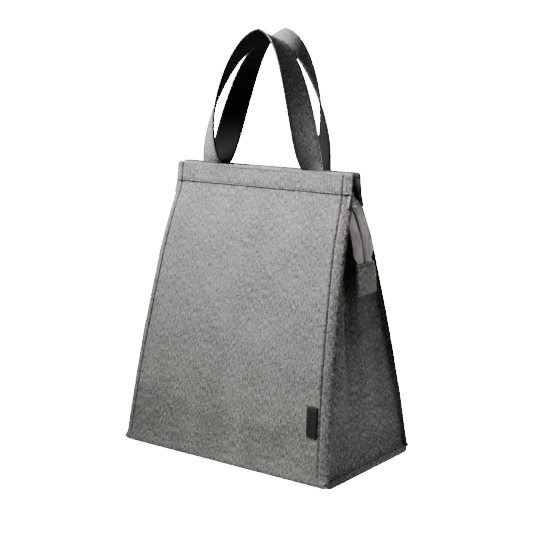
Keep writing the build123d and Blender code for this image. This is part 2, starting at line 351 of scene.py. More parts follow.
def melange(name, dark, mid, light, paint_shade=True):
    """Heather cloth: light and dark fibres spun into each yarn, in a plain weave. By default, shade is
    painted into its colour in its folds and beside other pieces."""
    tree = Tree(name, Sheen_Weight=0.1, Sheen_Roughness=0.5, Specular_IOR_Level=0.22)
    uv = tree.uv()
    height, over = plain_weave(tree, uv, 0.52 * MM)
    bend = tree.noise(tree.scaled(uv, 1 / (9 * MM), 1 / (7 * MM), 2.0), detail=1.0)
    bent = tree.add("VectorMath", uv, None, operation="ADD")
    shift = tree.add("CombineXYZ", tree.math("MULTIPLY", bend, 1.6 * MM), 0.0, 0.0).outputs[0]
    tree.links.new(shift, bent.inputs[1])
    bent = bent.outputs[0]
    warp = tree.noise(tree.scaled(bent, 1 / (1.0 * MM), 1 / (4.6 * MM)), detail=2.0, roughness=0.55)
    weft = tree.noise(tree.scaled(uv, 1 / (3.6 * MM), 1 / (0.9 * MM), 3.0), detail=2.0, roughness=0.55)
    fleck = tree.noise(tree.scaled(bent, 1 / (0.95 * MM), 1 / (1.9 * MM), 7.0), detail=1.0, roughness=0.6)
    slub = tree.noise(tree.scaled(uv, 1 / (16 * MM), 1 / (1.4 * MM), 9.0), detail=1.0)
    cloud = tree.noise(tree.scaled(uv, 1 / (30 * MM), 1 / (44 * MM), 5.0), detail=2.0)
    yarn = tree.mix(tree.mix(over, 0.16, 0.3), warp, weft)
    yarn = tree.mix(0.34, yarn, fleck)
    yarn = tree.math("ADD", yarn, tree.math("MULTIPLY", tree.math("SUBTRACT", cloud, 0.5), 0.1))
    dark_slub = tree.math("MAXIMUM", tree.math("SUBTRACT", slub, 0.64), 0.0)
    yarn = tree.math("SUBTRACT", yarn, tree.math("MULTIPLY", dark_slub, 0.45))
    worn = tree.add("Attribute", attribute_name="wear_and_fold_shade").outputs["Fac"]
    yarn = tree.math("ADD", yarn, tree.math("MULTIPLY", worn, 0.03))
    colour = tree.tones(yarn, [(0.375, dark), (0.5, mid), (0.625, light)])
    # painted shade in folds and beside other pieces
    if paint_shade:
        colour = painted_fold_shade(tree, colour)
    roughness = tree.mix(yarn, 0.97, 0.8)
    relief = tree.math("ADD", tree.math("MULTIPLY", height, 0.35), tree.math("MULTIPLY", yarn, 1.2))
    return tree.finish(colour, roughness, relief, 0.16 * MM, 0.6)


def webbing(name, dark, light):
    """Black ribbed webbing with a faint herringbone."""
    tree = Tree(name, Sheen_Weight=0.03, Sheen_Roughness=0.4, Specular_IOR_Level=0.16)
    uv = tree.uv()
    x, y, _ = tree.split(uv)
    chevron = tree.math("PINGPONG", x, 3.1 * MM)
    rib = tree.math("SINE", tree.math("MULTIPLY", tree.math("ADD", y, chevron), math.tau / (1.3 * MM)))
    rib = tree.math("MULTIPLY_ADD", rib, 0.5, 0.5)
    fibre = tree.noise(tree.scaled(uv, 1 / (0.5 * MM), 1 / (2.2 * MM)), detail=3.0)
    value = tree.mix(0.55, rib, fibre)
    colour = tree.tones(value, [(0.2, dark), (0.8, light)])
    return tree.finish(colour, tree.mix(fibre, 0.7, 0.9), value, 0.2 * MM, 0.7)


def satin_tape(name, dark, light):
    """Smooth zip tape: fine twill lines, with painted sheen: lighter streaks along the tape in its colour,
    where its roughness varies too.
    """
    tree = Tree(name, Sheen_Weight=0.18, Sheen_Roughness=0.3, Specular_IOR_Level=0.42)
    uv = tree.uv()
    x, y, _ = tree.split(uv)
    twill = tree.math("SINE", tree.math("MULTIPLY", tree.math("ADD", x, y), math.tau / (0.7 * MM)))
    # painted sheen: lighter streaks along the tape; the same noise varies the roughness
    sheen_streak = tree.noise(tree.scaled(uv, 1 / (0.9 * MM), 1 / (14 * MM)), detail=3.0)
    # the attribute darkens the tape: on the tails it is painted shade in their gathered folds
    worn = tree.add("Attribute", attribute_name="wear_and_fold_shade").outputs["Fac"]
    value = tree.math("MULTIPLY_ADD", twill, 0.1, sheen_streak)
    value = tree.math("SUBTRACT", value, tree.math("MULTIPLY", worn, 0.2))
    colour = tree.tones(value, [(0.25, dark), (0.7, light)])
    return tree.finish(colour, tree.mix(sheen_streak, 0.42, 0.6), value, 0.06 * MM, 0.6)


def coil_nylon(name):
    tree = Tree(name, Specular_IOR_Level=0.5, Coat_Weight=0.15, Coat_Roughness=0.3)
    grain = tree.noise(tree.place(), 1800.0, 3.0)
    colour = tree.tones(grain, [(0.3, (0.012, 0.012, 0.011)), (0.7, (0.03, 0.029, 0.027))])
    return tree.finish(colour, tree.mix(grain, 0.3, 0.5), grain, 0.03 * MM, 0.5)


def crinkled_foil(name):
    """Aluminium-faced lining film: sharp crinkles over broad soft dents."""
    tree = Tree(name, Metallic=0.92, Specular_IOR_Level=0.5)
    place = tree.place()
    crease = tree.cells(tree.scaled(place, 1.0, 1.0, 0.8), 120.0)
    fine = tree.cells(place, 330.0)
    dent = tree.noise(place, 45.0, 3.0)
    relief = tree.math("ADD", tree.math("MULTIPLY", crease, 0.8), tree.math("MULTIPLY", fine, 0.35))
    relief = tree.math("ADD", relief, dent)
    colour = tree.tones(dent, [(0.3, (0.50, 0.51, 0.53)), (0.7, (0.72, 0.73, 0.75))])
    return tree.finish(colour, tree.mix(dent, 0.22, 0.42), relief, 0.6 * MM, 0.8)


def closed_foam(name):
    """White closed-cell foam sheet."""
    tree = Tree(name, Specular_IOR_Level=0.3, Subsurface_Weight=0.05)
    cell = tree.cells(tree.place(), 700.0)
    blotch = tree.noise(tree.place(), 60.0, 2.0)
    colour = tree.tones(blotch, [(0.3, (0.72, 0.72, 0.70)), (0.7, (0.82, 0.82, 0.80))])
    return tree.finish(colour, tree.mix(blotch, 0.6, 0.8), cell, 0.35 * MM, 0.7)


def grey_board(name):
    tree = Tree(name, Specular_IOR_Level=0.35)
    fibre = tree.noise(tree.scaled(tree.place(), 900.0, 260.0, 900.0), 1.0, 4.0, 0.65)
    colour = tree.tones(fibre, [(0.3, (0.09, 0.088, 0.082)), (0.7, (0.17, 0.166, 0.155))])
    return tree.finish(colour, tree.mix(fibre, 0.65, 0.85), fibre, 0.1 * MM, 0.6)


def brushed_metal(name):
    """Dark nickel with fine brushing and brighter worn patches."""
    tree = Tree(name, Metallic=1.0, Coat_Weight=0.1, Coat_Roughness=0.2)
    brush = tree.noise(tree.scaled(tree.place(), 400.0, 4200.0, 4200.0), 1.0, 3.0)
    worn = tree.noise(tree.place(), 420.0, 3.0)
    colour = tree.tones(worn, [(0.35, (0.16, 0.155, 0.15)), (0.72, (0.38, 0.37, 0.36))])
    return tree.finish(colour, tree.mix(brush, 0.24, 0.45), brush, 0.02 * MM, 0.5)


def twisted_thread(name, dark, light):
    tree = Tree(name, Sheen_Weight=0.15, Specular_IOR_Level=0.3)
    fibre = tree.noise(tree.scaled(tree.place(), 2600.0, 2600.0, 5200.0), 1.0, 2.0)
    colour = tree.tones(fibre, [(0.3, dark), (0.7, light)])
    return tree.finish(colour, tree.mix(fibre, 0.6, 0.85), fibre, 0.06 * MM, 0.6)


def woven_patch(name):
    """Black woven label: fine weft lines, no marking."""
    tree = Tree(name, Sheen_Weight=0.15, Sheen_Roughness=0.35, Specular_IOR_Level=0.35)
    uv = tree.uv()
    y = tree.split(uv)[1]
    line = tree.math("SINE", tree.math("MULTIPLY", y, math.tau / (0.45 * MM)))
    line = tree.math("MULTIPLY_ADD", line, 0.5, 0.5)
    fibre = tree.noise(tree.scaled(uv, 1 / (1.6 * MM), 1 / (0.5 * MM)), detail=3.0)
    value = tree.mix(0.6, line, fibre)
    colour = tree.tones(value, [(0.25, (0.003, 0.0028, 0.0026)), (0.75, (0.0095, 0.009, 0.0085))])
    return tree.finish(colour, tree.mix(fibre, 0.55, 0.75), value, 0.09 * MM, 0.7)


CLOTH_LOOK = melange("melange_cloth", (0.075, 0.0725, 0.067), (0.225, 0.219, 0.207), (0.47, 0.46, 0.438))
STRAP_LOOK = melange("strap_cloth", (0.09, 0.0873, 0.082), (0.24, 0.234, 0.223), (0.45, 0.44, 0.422))
# painted light: a lighter copy of the melange cloth, without painted shade, for the end tabs and the base
# skirts, which catch more light than the walls
PAINTED_LIGHT_CLOTH_LOOK = melange(
    "tab_cloth_painted_light", (0.10, 0.0975, 0.091), (0.29, 0.283, 0.269), (0.55, 0.539, 0.517), paint_shade=False
)
WEBBING_LOOK = webbing("black_webbing", (0.003, 0.003, 0.003), (0.011, 0.0108, 0.0105))
TAPE_LOOK = satin_tape("zip_tape", (0.58, 0.565, 0.54), (0.86, 0.84, 0.81))
COIL_LOOK = coil_nylon("zip_coil")
FOIL_LOOK = crinkled_foil("foil")
FOAM_LOOK = closed_foam("foam")
BOARD_LOOK = grey_board("board")
METAL_LOOK = brushed_metal("zip_metal")
LABEL_LOOK = woven_patch("label_weave")
THREAD_LOOK = twisted_thread("grey_thread", (0.045, 0.044, 0.042), (0.105, 0.102, 0.097))
SEAM_THREAD_LOOK = twisted_thread("seam_thread", (0.2, 0.195, 0.185), (0.42, 0.41, 0.39))
DARK_THREAD_LOOK = twisted_thread("dark_thread", (0.015, 0.015, 0.014), (0.04, 0.039, 0.037))


def dress(piece, look):
    piece.data.materials.clear()
    piece.data.materials.append(look)
    return piece


# ---- stitches -----------------------------------------------------------------------------------
STITCH_RINGS = ((-1.0, 0.45, -0.55), (-0.45, 1.0, 0.35), (0.45, 1.0, 0.35), (1.0, 0.45, -0.55))
STITCH_SIDES = 6
STITCH_PITCH, STITCH_LENGTH, STITCH_RADIUS = 3.3 * MM, 2.5 * MM, 0.27 * MM


def read_along(places, lengths, values):
    """The rows of values at these lengths along a route."""
    return grid(*(np.interp(places, lengths, values[:, k]) for k in range(3)))


def stitch_run(route, normal):
    """Vertices and faces of a row of stitches on a route that lies on the cloth."""
    lengths = run_length(route)
    places = np.arange(STITCH_PITCH / 2, lengths[-1], STITCH_PITCH)
    middle = read_along(places, lengths, route)
    ahead = read_along(places + 0.4 * MM, lengths, route)
    behind = read_along(places - 0.4 * MM, lengths, route)
    way = unit(ahead - behind)
    side = unit(np.cross(way, read_along(places, lengths, normal)))
    up = np.cross(side, way)
    rings = []
    for along, girth, rise in STITCH_RINGS:
        for k in range(STITCH_SIDES):
            angle = math.tau * k / STITCH_SIDES
            out = rise + girth * math.cos(angle)
            beside = up * out + side * (girth * math.sin(angle))
            rings.append(middle + way * (along * STITCH_LENGTH / 2) + beside * STITCH_RADIUS)
    points = np.stack(rings, axis=1)
    ring_count, sides = len(STITCH_RINGS), STITCH_SIDES
    pattern = []
    for ring in range(ring_count - 1):
        for k in range(sides):
            a, b = ring * sides + k, ring * sides + (k + 1) % sides
            pattern.append((a, b, b + sides, a + sides))
    starts = np.arange(len(places)) * ring_count * sides
    faces = (np.array(pattern)[None] + starts[:, None, None]).reshape(-1, 4).tolist()
    last = (ring_count - 1) * sides
    for start in starts.tolist():
        faces.append([start + k for k in range(sides)][::-1])
        faces.append([start + last + k for k in range(sides)])
    return points.reshape(-1, 3), faces


def stitch_piece(name, runs, look, back=False, left=False):
    """One piece of thread from several (route, normal) runs on the front or the right."""
    points, faces, count = [], [], 0
    for route, normal in runs:
        run_points, run_faces = stitch_run(turn(route, back, left), turn(normal, back, left))
        points.append(run_points)
        faces += [[index + count for index in face] for face in run_faces]
        count += len(run_points)
    mesh = bpy.data.meshes.new(name)
    mesh.from_pydata(np.concatenate(points).tolist(), [], faces)
    outward(mesh)
    mesh.shade_smooth()
    return dress(link(name, mesh), look)


def on_wall(x, z, depth):
    """A route on the front wall's outer face and its normals, from matching rows of x and z."""
    x, z = np.broadcast_arrays(x, z)
    lean = np.where(z < NECK_Z, SLOPE, NECK_SLOPE)
    return grid(x, wall_y(z, depth), z), unit(grid(0.0, -1.0, lean))


# ---- cloth simulation ---------------------------------------------------------------------------
def buckle(points, pinned, growth, frames, seed, give=1.0):
    """Cloth simulation of a coarse grid of points that is slightly too large for its pinned
    edges. Returns how far each point moved."""
    start = points + give * MM * 0.3 * unit_noise(points, seed)
    cloth = grid_piece("cloth_trial", start, spread_uv(points))
    group = cloth.vertex_groups.new(name="pin")
    for index, weight in enumerate(np.clip(pinned, 0, 1).ravel().tolist()):
        group.add([index], weight, "REPLACE")
    modifier = cloth.modifiers.new("cloth", "CLOTH")
    settings = modifier.settings
    settings.quality = 8
    settings.mass = 0.25
    settings.tension_stiffness = settings.compression_stiffness = 22
    settings.shear_stiffness = 12
    settings.bending_stiffness = 4.0
    settings.tension_damping = settings.compression_damping = 12
    settings.bending_damping = 1.5
    settings.air_damping = 4
    settings.vertex_group_mass = "pin"
    settings.shrink_min = -growth
    settings.effector_weights.gravity = 0.15
    modifier.point_cache.frame_start, modifier.point_cache.frame_end = 1, frames
    scene = bpy.context.scene
    for frame_number in range(1, frames + 1):
        scene.frame_set(frame_number)
    seen = cloth.evaluated_get(bpy.context.evaluated_depsgraph_get())
    moved = np.empty(len(seen.data.vertices) * 3)
    seen.data.vertices.foreach_get("co", moved)
    mesh = cloth.data
    bpy.data.objects.remove(cloth)
    bpy.data.meshes.remove(mesh)
    scene.frame_set(1)
    return moved.reshape(points.shape) - points


def unit_noise(points, seed):
    """Three noises, one for each direction, at the size of a fold."""
    return grid(*(rough(points, 30 * MM, seed + k) for k in range(3)))


def resample(field, rows, cols):
    """A coarse grid of values read at these shares down and across it."""
    high, wide = field.shape[0] - 1, field.shape[1] - 1
    r, c = np.clip(rows, 0, 1) * high, np.clip(cols, 0, 1) * wide
    r0, c0 = np.minimum(r.astype(int), high - 1), np.minimum(c.astype(int), wide - 1)
    fr, fc = (r - r0)[..., None], (c - c0)[..., None]
    top = field[r0, c0] * (1 - fc) + field[r0, c0 + 1] * fc
    low = field[r0 + 1, c0] * (1 - fc) + field[r0 + 1, c0 + 1] * fc
    return top * (1 - fr) + low * fr


def lifted(amount):
    """Only the outward share of a move: cloth rises off its padding and hardly sinks into it."""
    turn_width = 0.4 * MM
    return (amount + np.sqrt(amount**2 + turn_width**2) - turn_width) / 2


def capped(field, limit):
    """The field with every move brought under this limit, smoothly."""
    size = np.linalg.norm(field, axis=-1, keepdims=True)
    return field * limit * np.tanh(size / limit) / np.maximum(size, 1e-9)


# ---- wall cloth ---------------------------------------------------------------------------------
WALL_CROWN = 0.9 * MM  # the cloth's rise over its padding, beside the bow
GROOVE_DEPTH, GROOVE_WIDTH = 1.15 * MM, 0.95 * MM  # along the stitches of an upright seam
FLANGE_BACK, FLANGE_CROWN = 4.2 * MM, 0.8 * MM  # how far a seam's edge leans back, and its rounding
EDGE_TURN = 0.8 * MM  # how far the last of a seam's edge turns under
HEM_TUCK = 0.6 * MM  # how far the cloth's top is pressed in under the band
ZONE = 7 * MM  # finer columns from here to the seam
DENT_FOOT = 12 * MM  # the cloth simulation of a wall starts at this height
EDGE_STEPS = (5.4, 4.4, 3.8, 3.3, 2.9, 2.5, 2.0, 1.5, 1.0, 0.5, 0.0)
REACH_STEPS = (0.07, 0.15, 0.25, 0.4, 0.58, 0.75, 0.87, 0.95, 1.0)
FOLD_Y = wall_y(0.0) + FOLD * (SLOPE + math.hypot(1, SLOPE))  # middle of the fold's arc
LEAN = math.atan(SLOPE)


def columns(count):
    """Columns across a wall: shares of the half width, offsets, shares of the seam's reach."""
    middle = [(s, -s * ZONE, 0.0) for s in np.linspace(-1, 1, count)]
    right = [(1.0, -d * MM, 0.0) for d in EDGE_STEPS] + [(1.0, 0.0, f) for f in REACH_STEPS]
    left = [(-s, -d, -f) for s, d, f in right[::-1]]
    return np.array(left + middle + right).T


def cloth_route():
    """Side view of a wall's cloth from the middle of the base to under the band: y and z, and
    the outward direction."""
    under = np.linspace(0, FOLD_Y, 26)[:-1]
    angle = np.linspace(0, math.pi / 2 + LEAN, 13)
    start = FOLD * (1 + math.sin(LEAN))
    foot = start + 1.2 * MM * np.arange(1, 9)
    rise = np.linspace(foot[-1], BAND_FOOT + 4 * MM, 122)[1:]
    up = np.concatenate([foot, rise])
    y = np.concatenate([under, FOLD_Y - FOLD * np.sin(angle), wall_y(up)])
    z = np.concatenate([0 * under, FOLD * (1 - np.cos(angle)), up])
    out_y = np.concatenate([0 * under, -np.sin(angle), -math.cos(LEAN) + 0 * up])
    out_z = np.concatenate([-1 + 0 * under, -np.cos(angle), math.sin(LEAN) + 0 * up])
    return y, z, out_y, out_z


def wall_buckle(seed):
    """Soft dents of a wall's cloth over its foam, on a coarse grid between its seams."""
    rows, cols = 40, 36
    z = np.linspace(DENT_FOOT, BAND_FOOT, rows)[:, None]
    share = np.linspace(-1, 1, cols)[None, :]
    x = share * half_width(z)
    points = grid(x, wall_y(z), z)
    pinned = np.zeros((rows, cols))
    pinned[[0, -1], :] = 1
    pinned[:, [0, -1]] = 1
    return capped(buckle(points, pinned, 0.008, 16, seed), 2.2 * MM)


def wall_relief(place, inside, reach, beyond, seed):
    """How far a wall's cloth stands off its route: a crown with lumps, puckers beside the seams,
    the groove of the stitches, and the seams' edges, which lean back."""
    z = place[:, :1, 2]
    upright = ease(z, 5 * MM, 12 * MM)
    soft = ease(inside, 0, 24 * MM) * ease(z, 10 * MM, 50 * MM) * ease(BAND_FOOT - z, 0, 26 * MM)
    relief = (WALL_CROWN + lumps(place, seed, (0.7, 70), (0.22, 24))) * soft
    near_seam = np.exp(-np.abs(inside - SEAM_IN) / (5 * MM))
    relief = relief + near_seam * upright * lumps(place * np.array([0.25, 1, 1]), seed + 2, (0.16, 6.5))
    relief = relief - GROOVE_DEPTH * hollow(inside - SEAM_IN, GROOVE_WIDTH) * upright
    flange = np.clip((SEAM_IN - inside) / (SEAM_IN + reach), 0, 1)
    relief = relief + (FLANGE_CROWN * np.sin(math.pi * flange) - FLANGE_BACK * flange) * upright
    relief = relief + beyond * upright * lumps(place, seed + 3, (0.35, 26))
    relief = relief - EDGE_TURN * ease(beyond, 0.8, 1.0) ** 2
    return relief - HEM_TUCK * ease(z, BAND_FOOT - 3 * MM, BAND_FOOT)


def wall_dents(x, z, inside, seed):
    """The outward share of a wall's simulated dents."""
    down = (z - DENT_FOOT) / (BAND_FOOT - DENT_FOOT)
    across = (x / half_width(z) + 1) / 2
    moved = resample(wall_buckle(seed), down, across)
    rise = lifted(-moved[..., 1] * math.cos(LEAN) + moved[..., 2] * math.sin(LEAN))
    rise = rise * (inside > 0) * (z > DENT_FOOT)
    return rise * ease(inside, 0, 6 * MM) * ease(BAND_FOOT - z, 2 * MM, 12 * MM)


def wall_cloth(name, back, seed):
    """Cloth of one wall, from the middle of the base to under the band, out to its seams' edges."""
    y, z, out_y, out_z = (value[:, None] for value in cloth_route())
    share, offset, reach_share = (value[None, :] for value in columns(96))
    width = half_width(z)
    standing = ease(z, 0.5 * MM, 3 * MM)
    under_reach = 4.5 * MM * ease(-y, DEPTH_HALF - 3 * MM, DEPTH_HALF - 14 * MM) + 0.6 * MM
    reach = np.maximum(SEAM_REACH * corner_round(z) * standing, under_reach * (1 - standing))
    x = share * width + offset + reach_share * reach
    inside, beyond = width - np.abs(x), np.abs(reach_share)
    rise = wall_relief(grid(x, y, z), inside, reach, beyond, seed)
    rise = rise + wall_dents(x, z, inside, seed)
    points = grid(x, y + out_y * rise, np.maximum(z + out_z * rise, 0))

    along = run_length(grid(y[:, 0], z[:, 0]))
    uv = grid(x + 0.3 * seed, along[:, None])
    wear_and_fold_shade = np.clip(0.8 * ease(beyond, 0.55, 0.95) + 0.7 * hollow(z - FOLD, 5 * MM), 0, 1)
    piece = thicken(grid_piece(name, turn(points, back), uv, flip=back, wear_and_fold_shade=wear_and_fold_shade), CLOTH)
    dress(piece, CLOTH_LOOK)
    side = side_of(back)
    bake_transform(piece)
    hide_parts(side + "_panel", "base_panel", side + "_seam_left", side + "_seam_right")
    return piece


# ---- bands --------------------------------------------------------------------------------------
STRAP_X, STRAP_WIDTH, STRAP_LAYER = 60 * MM, 25 * MM, 1.2 * MM
FOOT_DEPTH = 2.3 * MM
TOPSTITCH, BAND_SEWN = 3 * MM, 1.8 * MM  # rows of stitching, below the top and above the lower edge
ROLL = 1.15 * MM


def band_route():
    """Section of a band from its lower edge outside, over the top, down into the crease, up
    again and down inside: depth behind the wall's face, height, and how much of it is crease."""
    hem = [(0.7, BAND_FOOT + 2.4 * MM), (0.55, BAND_FOOT + 0.6 * MM), (0.05, BAND_FOOT - 0.1 * MM)]
    hem += [(-0.5, BAND_FOOT + 0.3 * MM), (-0.75, BAND_FOOT + 1.2 * MM)]
    depth = [d * MM for d, _ in hem]
    height = [h for _, h in hem]
    outer = np.linspace(BAND_FOOT + 2 * MM, HEIGHT - ROLL, 14)
    depth += [-0.6 * MM] * len(outer)
    height += outer.tolist()
    angle = np.linspace(0, math.pi, 8)[1:]
    depth += (ROLL - ROLL * np.cos(angle) - 0.6 * MM * (1 - angle / math.pi)).tolist()
    height += (HEIGHT - ROLL + ROLL * np.sin(angle)).tolist()
    depth += [2 * ROLL, 2 * ROLL]
    height += [HEIGHT - 2.6 * MM, HEIGHT - 4.5 * MM]
    crease = len(depth)
    depth += [2 * ROLL, 2 * ROLL]
    height += [HEIGHT - 4.5 * MM, HEIGHT - 2.6 * MM]
    depth += (3 * ROLL - ROLL * np.cos(angle)).tolist()
    height += (HEIGHT - ROLL + ROLL * np.sin(angle)).tolist()
    inner = np.linspace(HEIGHT - 2 * ROLL, facing_foot, 16)
    depth += [4 * ROLL] * len(inner)
    height += inner.tolist()
    return np.array(depth), np.array(height), crease


def band(name, back, seed):
    depth, z, crease = band_route()
    leg = np.arange(len(depth))[:, None] >= crease
    depth, z = depth[:, None], z[:, None]
    share, offset, reach_share = (value[None, :] for value in columns(110))
    beyond = np.abs(reach_share)
    reach = SEAM_REACH * (1 - 0.3 * hollow(z - HEIGHT, 1.4 * MM)) - 0.4 * MM * leg
    x = share * NECK_HALF + offset + reach_share * reach
    inside = NECK_HALF - np.abs(x)
    place = grid(x, depth, z)
    outer = np.where(leg, 0.0, 1.0)
    upright = ease(HEIGHT - z, 0.5 * MM, 3 * MM)

    strap = ease(np.abs(np.abs(x) - STRAP_X), STRAP_WIDTH / 2 + 3 * MM, STRAP_WIDTH / 2 - 0.5 * MM)
    near_top = ease(z, HEIGHT - 9 * MM, HEIGHT - 2 * MM)
    spread = np.abs(depth / (2 * ROLL) - 1)
    open_up = STRAP_LAYER + 0.1 * MM
    squeezed = np.where(leg, 1.0, -1.0) * (open_up + spread * (2 * ROLL - 0.5 * MM))
    deep = depth + strap * near_top * (2 * ROLL + squeezed - depth)

    deep = deep + 0.42 * MM * hollow(HEIGHT - z - TOPSTITCH, 0.9 * MM) * outer * ease(inside, 0, 1 * MM)
    deep = deep + 0.38 * MM * hollow(z - BAND_FOOT - BAND_SEWN, 0.8 * MM) * outer
    deep = deep - 0.3 * MM * hollow(z - BAND_FOOT - 10 * MM, 6 * MM) * outer * ease(inside, 0, 10 * MM)
    deep = deep + 0.9 * MM * hollow(inside - SEAM_IN, GROOVE_WIDTH) * outer * upright
    deep = deep + (2.2 * beyond + 0.6 * ease(beyond, 0.8, 1.0) ** 2) * MM * outer
    pull_in = ease(inside, 3 * MM, -0.5 * MM) * (1 - outer)
    deep = deep - pull_in * np.maximum(deep - 2.1 * MM, 0)
    ripple = rough(place * np.array([1, 0.2, 0.5]), 8 * MM, seed) * 0.15 * MM
    broad = rough(place * np.array([1, 0.2, 1]), 38 * MM, seed + 1) * 0.35 * MM
    deep = deep + (ripple + broad) * np.where(leg, 0.5, 1.0) * ease(inside, -1 * MM, 6 * MM)

    points = grid(x, wall_y(z, deep), z)
    sag = rough(place * np.array([1, 0, 0]), 45 * MM, seed + 2) * ease(z, HEIGHT - 8 * MM, HEIGHT)
    points[..., 2] += 0.35 * MM * sag
    along = run_length(grid(depth[:, 0], z[:, 0]))
    uv = grid(x + 0.3 * seed, along[:, None] + 0.5)
    wear_and_fold_shade = np.clip(hollow(z - HEIGHT, 2.2 * MM) + 0.7 * ease(beyond, 0.6, 1), 0, 1)
    piece = thicken(grid_piece(name, turn(points, back), uv, flip=back, wear_and_fold_shade=wear_and_fold_shade), 0.5 * MM)
    dress(piece, CLOTH_LOOK)
    side = side_of(back)
    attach(piece, side + "_wall")
    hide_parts(side + "_band", side + "_facing")
    return piece


def wall_stitches(back):
    """Rows of thread on one wall: both edge seams, the band's lower edge and its topstitch."""
    side = side_of(back)
    up = np.linspace(CORNER, BAND_FOOT - 1.5 * MM, 120)
    top = np.linspace(BAND_FOOT + 1.5 * MM, HEIGHT - 2 * MM, 12)
    runs = []
    for hand in (-1, 1):
        runs.append(on_wall(hand * (half_width(up) - SEAM_IN), up, 0.75 * MM))
        runs.append(on_wall(hand * (half_width(top) - SEAM_IN), top, 0.1 * MM))
    across = np.linspace(-NECK_HALF + 1 * MM, NECK_HALF - 1 * MM, 90)
    runs.append(on_wall(across, BAND_FOOT + BAND_SEWN, -0.3 * MM))
    runs.append(on_wall(across, HEIGHT - TOPSTITCH, -0.25 * MM))
    piece = stitch_piece(side + "_stitches", runs, THREAD_LOOK, back)
    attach(piece, side + "_wall")


# ---- gussets ------------------------------------------------------------------------------------
TUCK_HEIGHTS = np.array([0, 65, 150, 240]) * MM
TUCKS = np.array([4, 13, 14, 16]) * MM
APEX = 65 * MM  # where the creases from the bottom corners meet
GUSSET_GAP = WALL_DEPTH + 0.3 * MM


def gusset_reach(z):
    """How far from the middle fold a gusset meets its wall."""
    return -wall_y(z, GUSSET_GAP)


def gusset_tuck(y, z):
    """How far in the gusset is folded: a valley up the middle that ends in two creases to the
    bottom corners."""
    rounded = np.sqrt(y**2 + (1.6 * MM) ** 2) - 1.6 * MM
    share = np.clip(rounded / gusset_reach(z), 0, 1)
    valley = np.interp(z, TUCK_HEIGHTS, TUCKS) * (1 - share)
    foot = TUCKS[1] * (z - GUSSET_FOOT) / (APEX - GUSSET_FOOT)
    blend = 0.8 * MM
    share = np.clip(0.5 + 0.5 * (foot - valley) / blend, 0, 1)
    return foot * (1 - share) + valley * share - blend * share * (1 - share)


def gusset_buckle(seed):
    """Slack of half a gusset, on a coarse grid from its seam to its middle fold."""
    rows, cols = 44, 14
    z = np.linspace(GUSSET_FOOT, GUSSET_TOP, rows)[:, None]
    share = np.linspace(0, 1, cols)[None, :]
    y = -gusset_reach(z) * (1 - share)
    points = grid(half_width(z) - gusset_tuck(y, z), y, z)
    pinned = np.zeros((rows, cols))
    pinned[0, :] = 1
    pinned[:, [0, -1]] = 1
    pinned[-1, :] = 0.6
    return capped(buckle(points, pinned, 0.02, 16, seed, 1.5), 2.6 * MM)


# section of a gusset's edge: out past the half width, and depth behind the wall's face
GUSSET_SEAM_X = np.array([6.1, 5.8, 5.2, 4.2, 2.8, 1.6, 0.7, 0.15, -0.1]) * MM
GUSSET_SEAM_DEPTH = np.array([6.4, 5.9, 5.2, 4.3, 3.5, 2.9, 2.7, 2.9, 3.8]) * MM


def gusset_grid(seed, depth_in, dents=None, to_seam=True):
    """Half of the right gusset, from its seam to its middle fold, this deep behind its cloth."""
    rise = np.linspace(0, 1, 112)[:, None]
    face = np.linspace(0, 1, 34)
    seam_x, seam_d = GUSSET_SEAM_X, GUSSET_SEAM_DEPTH
    if not to_seam:
        seam_x, seam_d = np.array([-depth_in - 0.2 * MM]), np.array([FACING_DEPTH])
    count = len(seam_x)
    top = np.concatenate([np.full(count, facing_foot + 1 * MM), GUSSET_TOP + 6 * MM * ease(face, 0.25, 0)])
    if not to_seam:
        top = np.minimum(top, GUSSET_TOP + 2 * MM)
    z = GUSSET_FOOT + (top[None, :] - GUSSET_FOOT) * rise
    z_seam, z_face = z[:, :count], z[:, count:]
    reach_out = np.where(seam_x > 0, seam_x * corner_round(z_seam - 1 * MM), seam_x)
    x_seam = half_width(z_seam) + reach_out
    y_seam = wall_y(z_seam, seam_d[None, :])
    y_face = -gusset_reach(z_face) * (1 - face[None, :])
    x_face = half_width(z_face) - gusset_tuck(y_face, np.minimum(z_face, GUSSET_TOP))
    flat = grid(x_face, y_face, z_face)
    soft = ease(face[None, :], 0, 0.25) * ease(z_face, GUSSET_FOOT, GUSSET_FOOT + 18 * MM)
    wave = 0.8 * rough(flat * np.array([1, 1, 0.6]), 42 * MM, seed)
    wave = wave + 0.3 * rough(flat, 15 * MM, seed + 1)
    channel = hollow(face[None, :] - 0.2, 0.13)  # a soft channel beside the seam
    wave = wave - 2.4 * channel * ease(z_face, 30 * MM, 70 * MM)
    # a soft ridge that nears the middle fold as it rises
    crest = hollow(face[None, :] - 0.55 - 0.25 * (z_face - GUSSET_FOOT) / GUSSET_TOP, 0.16)
    wave = wave + 3.6 * crest * ease(z_face, 40 * MM, 80 * MM) * ease(z_face, 215 * MM, 150 * MM)
    flat[..., 0] += wave * MM * soft - depth_in * np.where(to_seam, ease(face[None, :], 0, 0.06), 1.0)
    if dents is not None:
        down = (z_face - GUSSET_FOOT) / (GUSSET_TOP - GUSSET_FOOT)
        moved = resample(dents, down, face[None, :])
        flat[..., 0] += lifted(moved[..., 0]) * ease(face[None, :], 0, 0.1)
    return np.concatenate([grid(x_seam, y_seam, z_seam), flat], axis=1)


def gusset_blend(piece, back):
    """Bakes the piece's transform into its mesh. It works out a start and an end along the wall's own
    normal, from the middle fold at the gusset's top, and uses neither."""
    normal = Vector((0, -math.cos(LEAN), math.sin(LEAN)))
    start = Vector((0, 0, GUSSET_TOP))
    end = start + normal * (-wall_y(GUSSET_TOP, FACING_DEPTH) * math.cos(LEAN))
    if back:
        start.y, end.y = -start.y, -end.y
    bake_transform(piece)


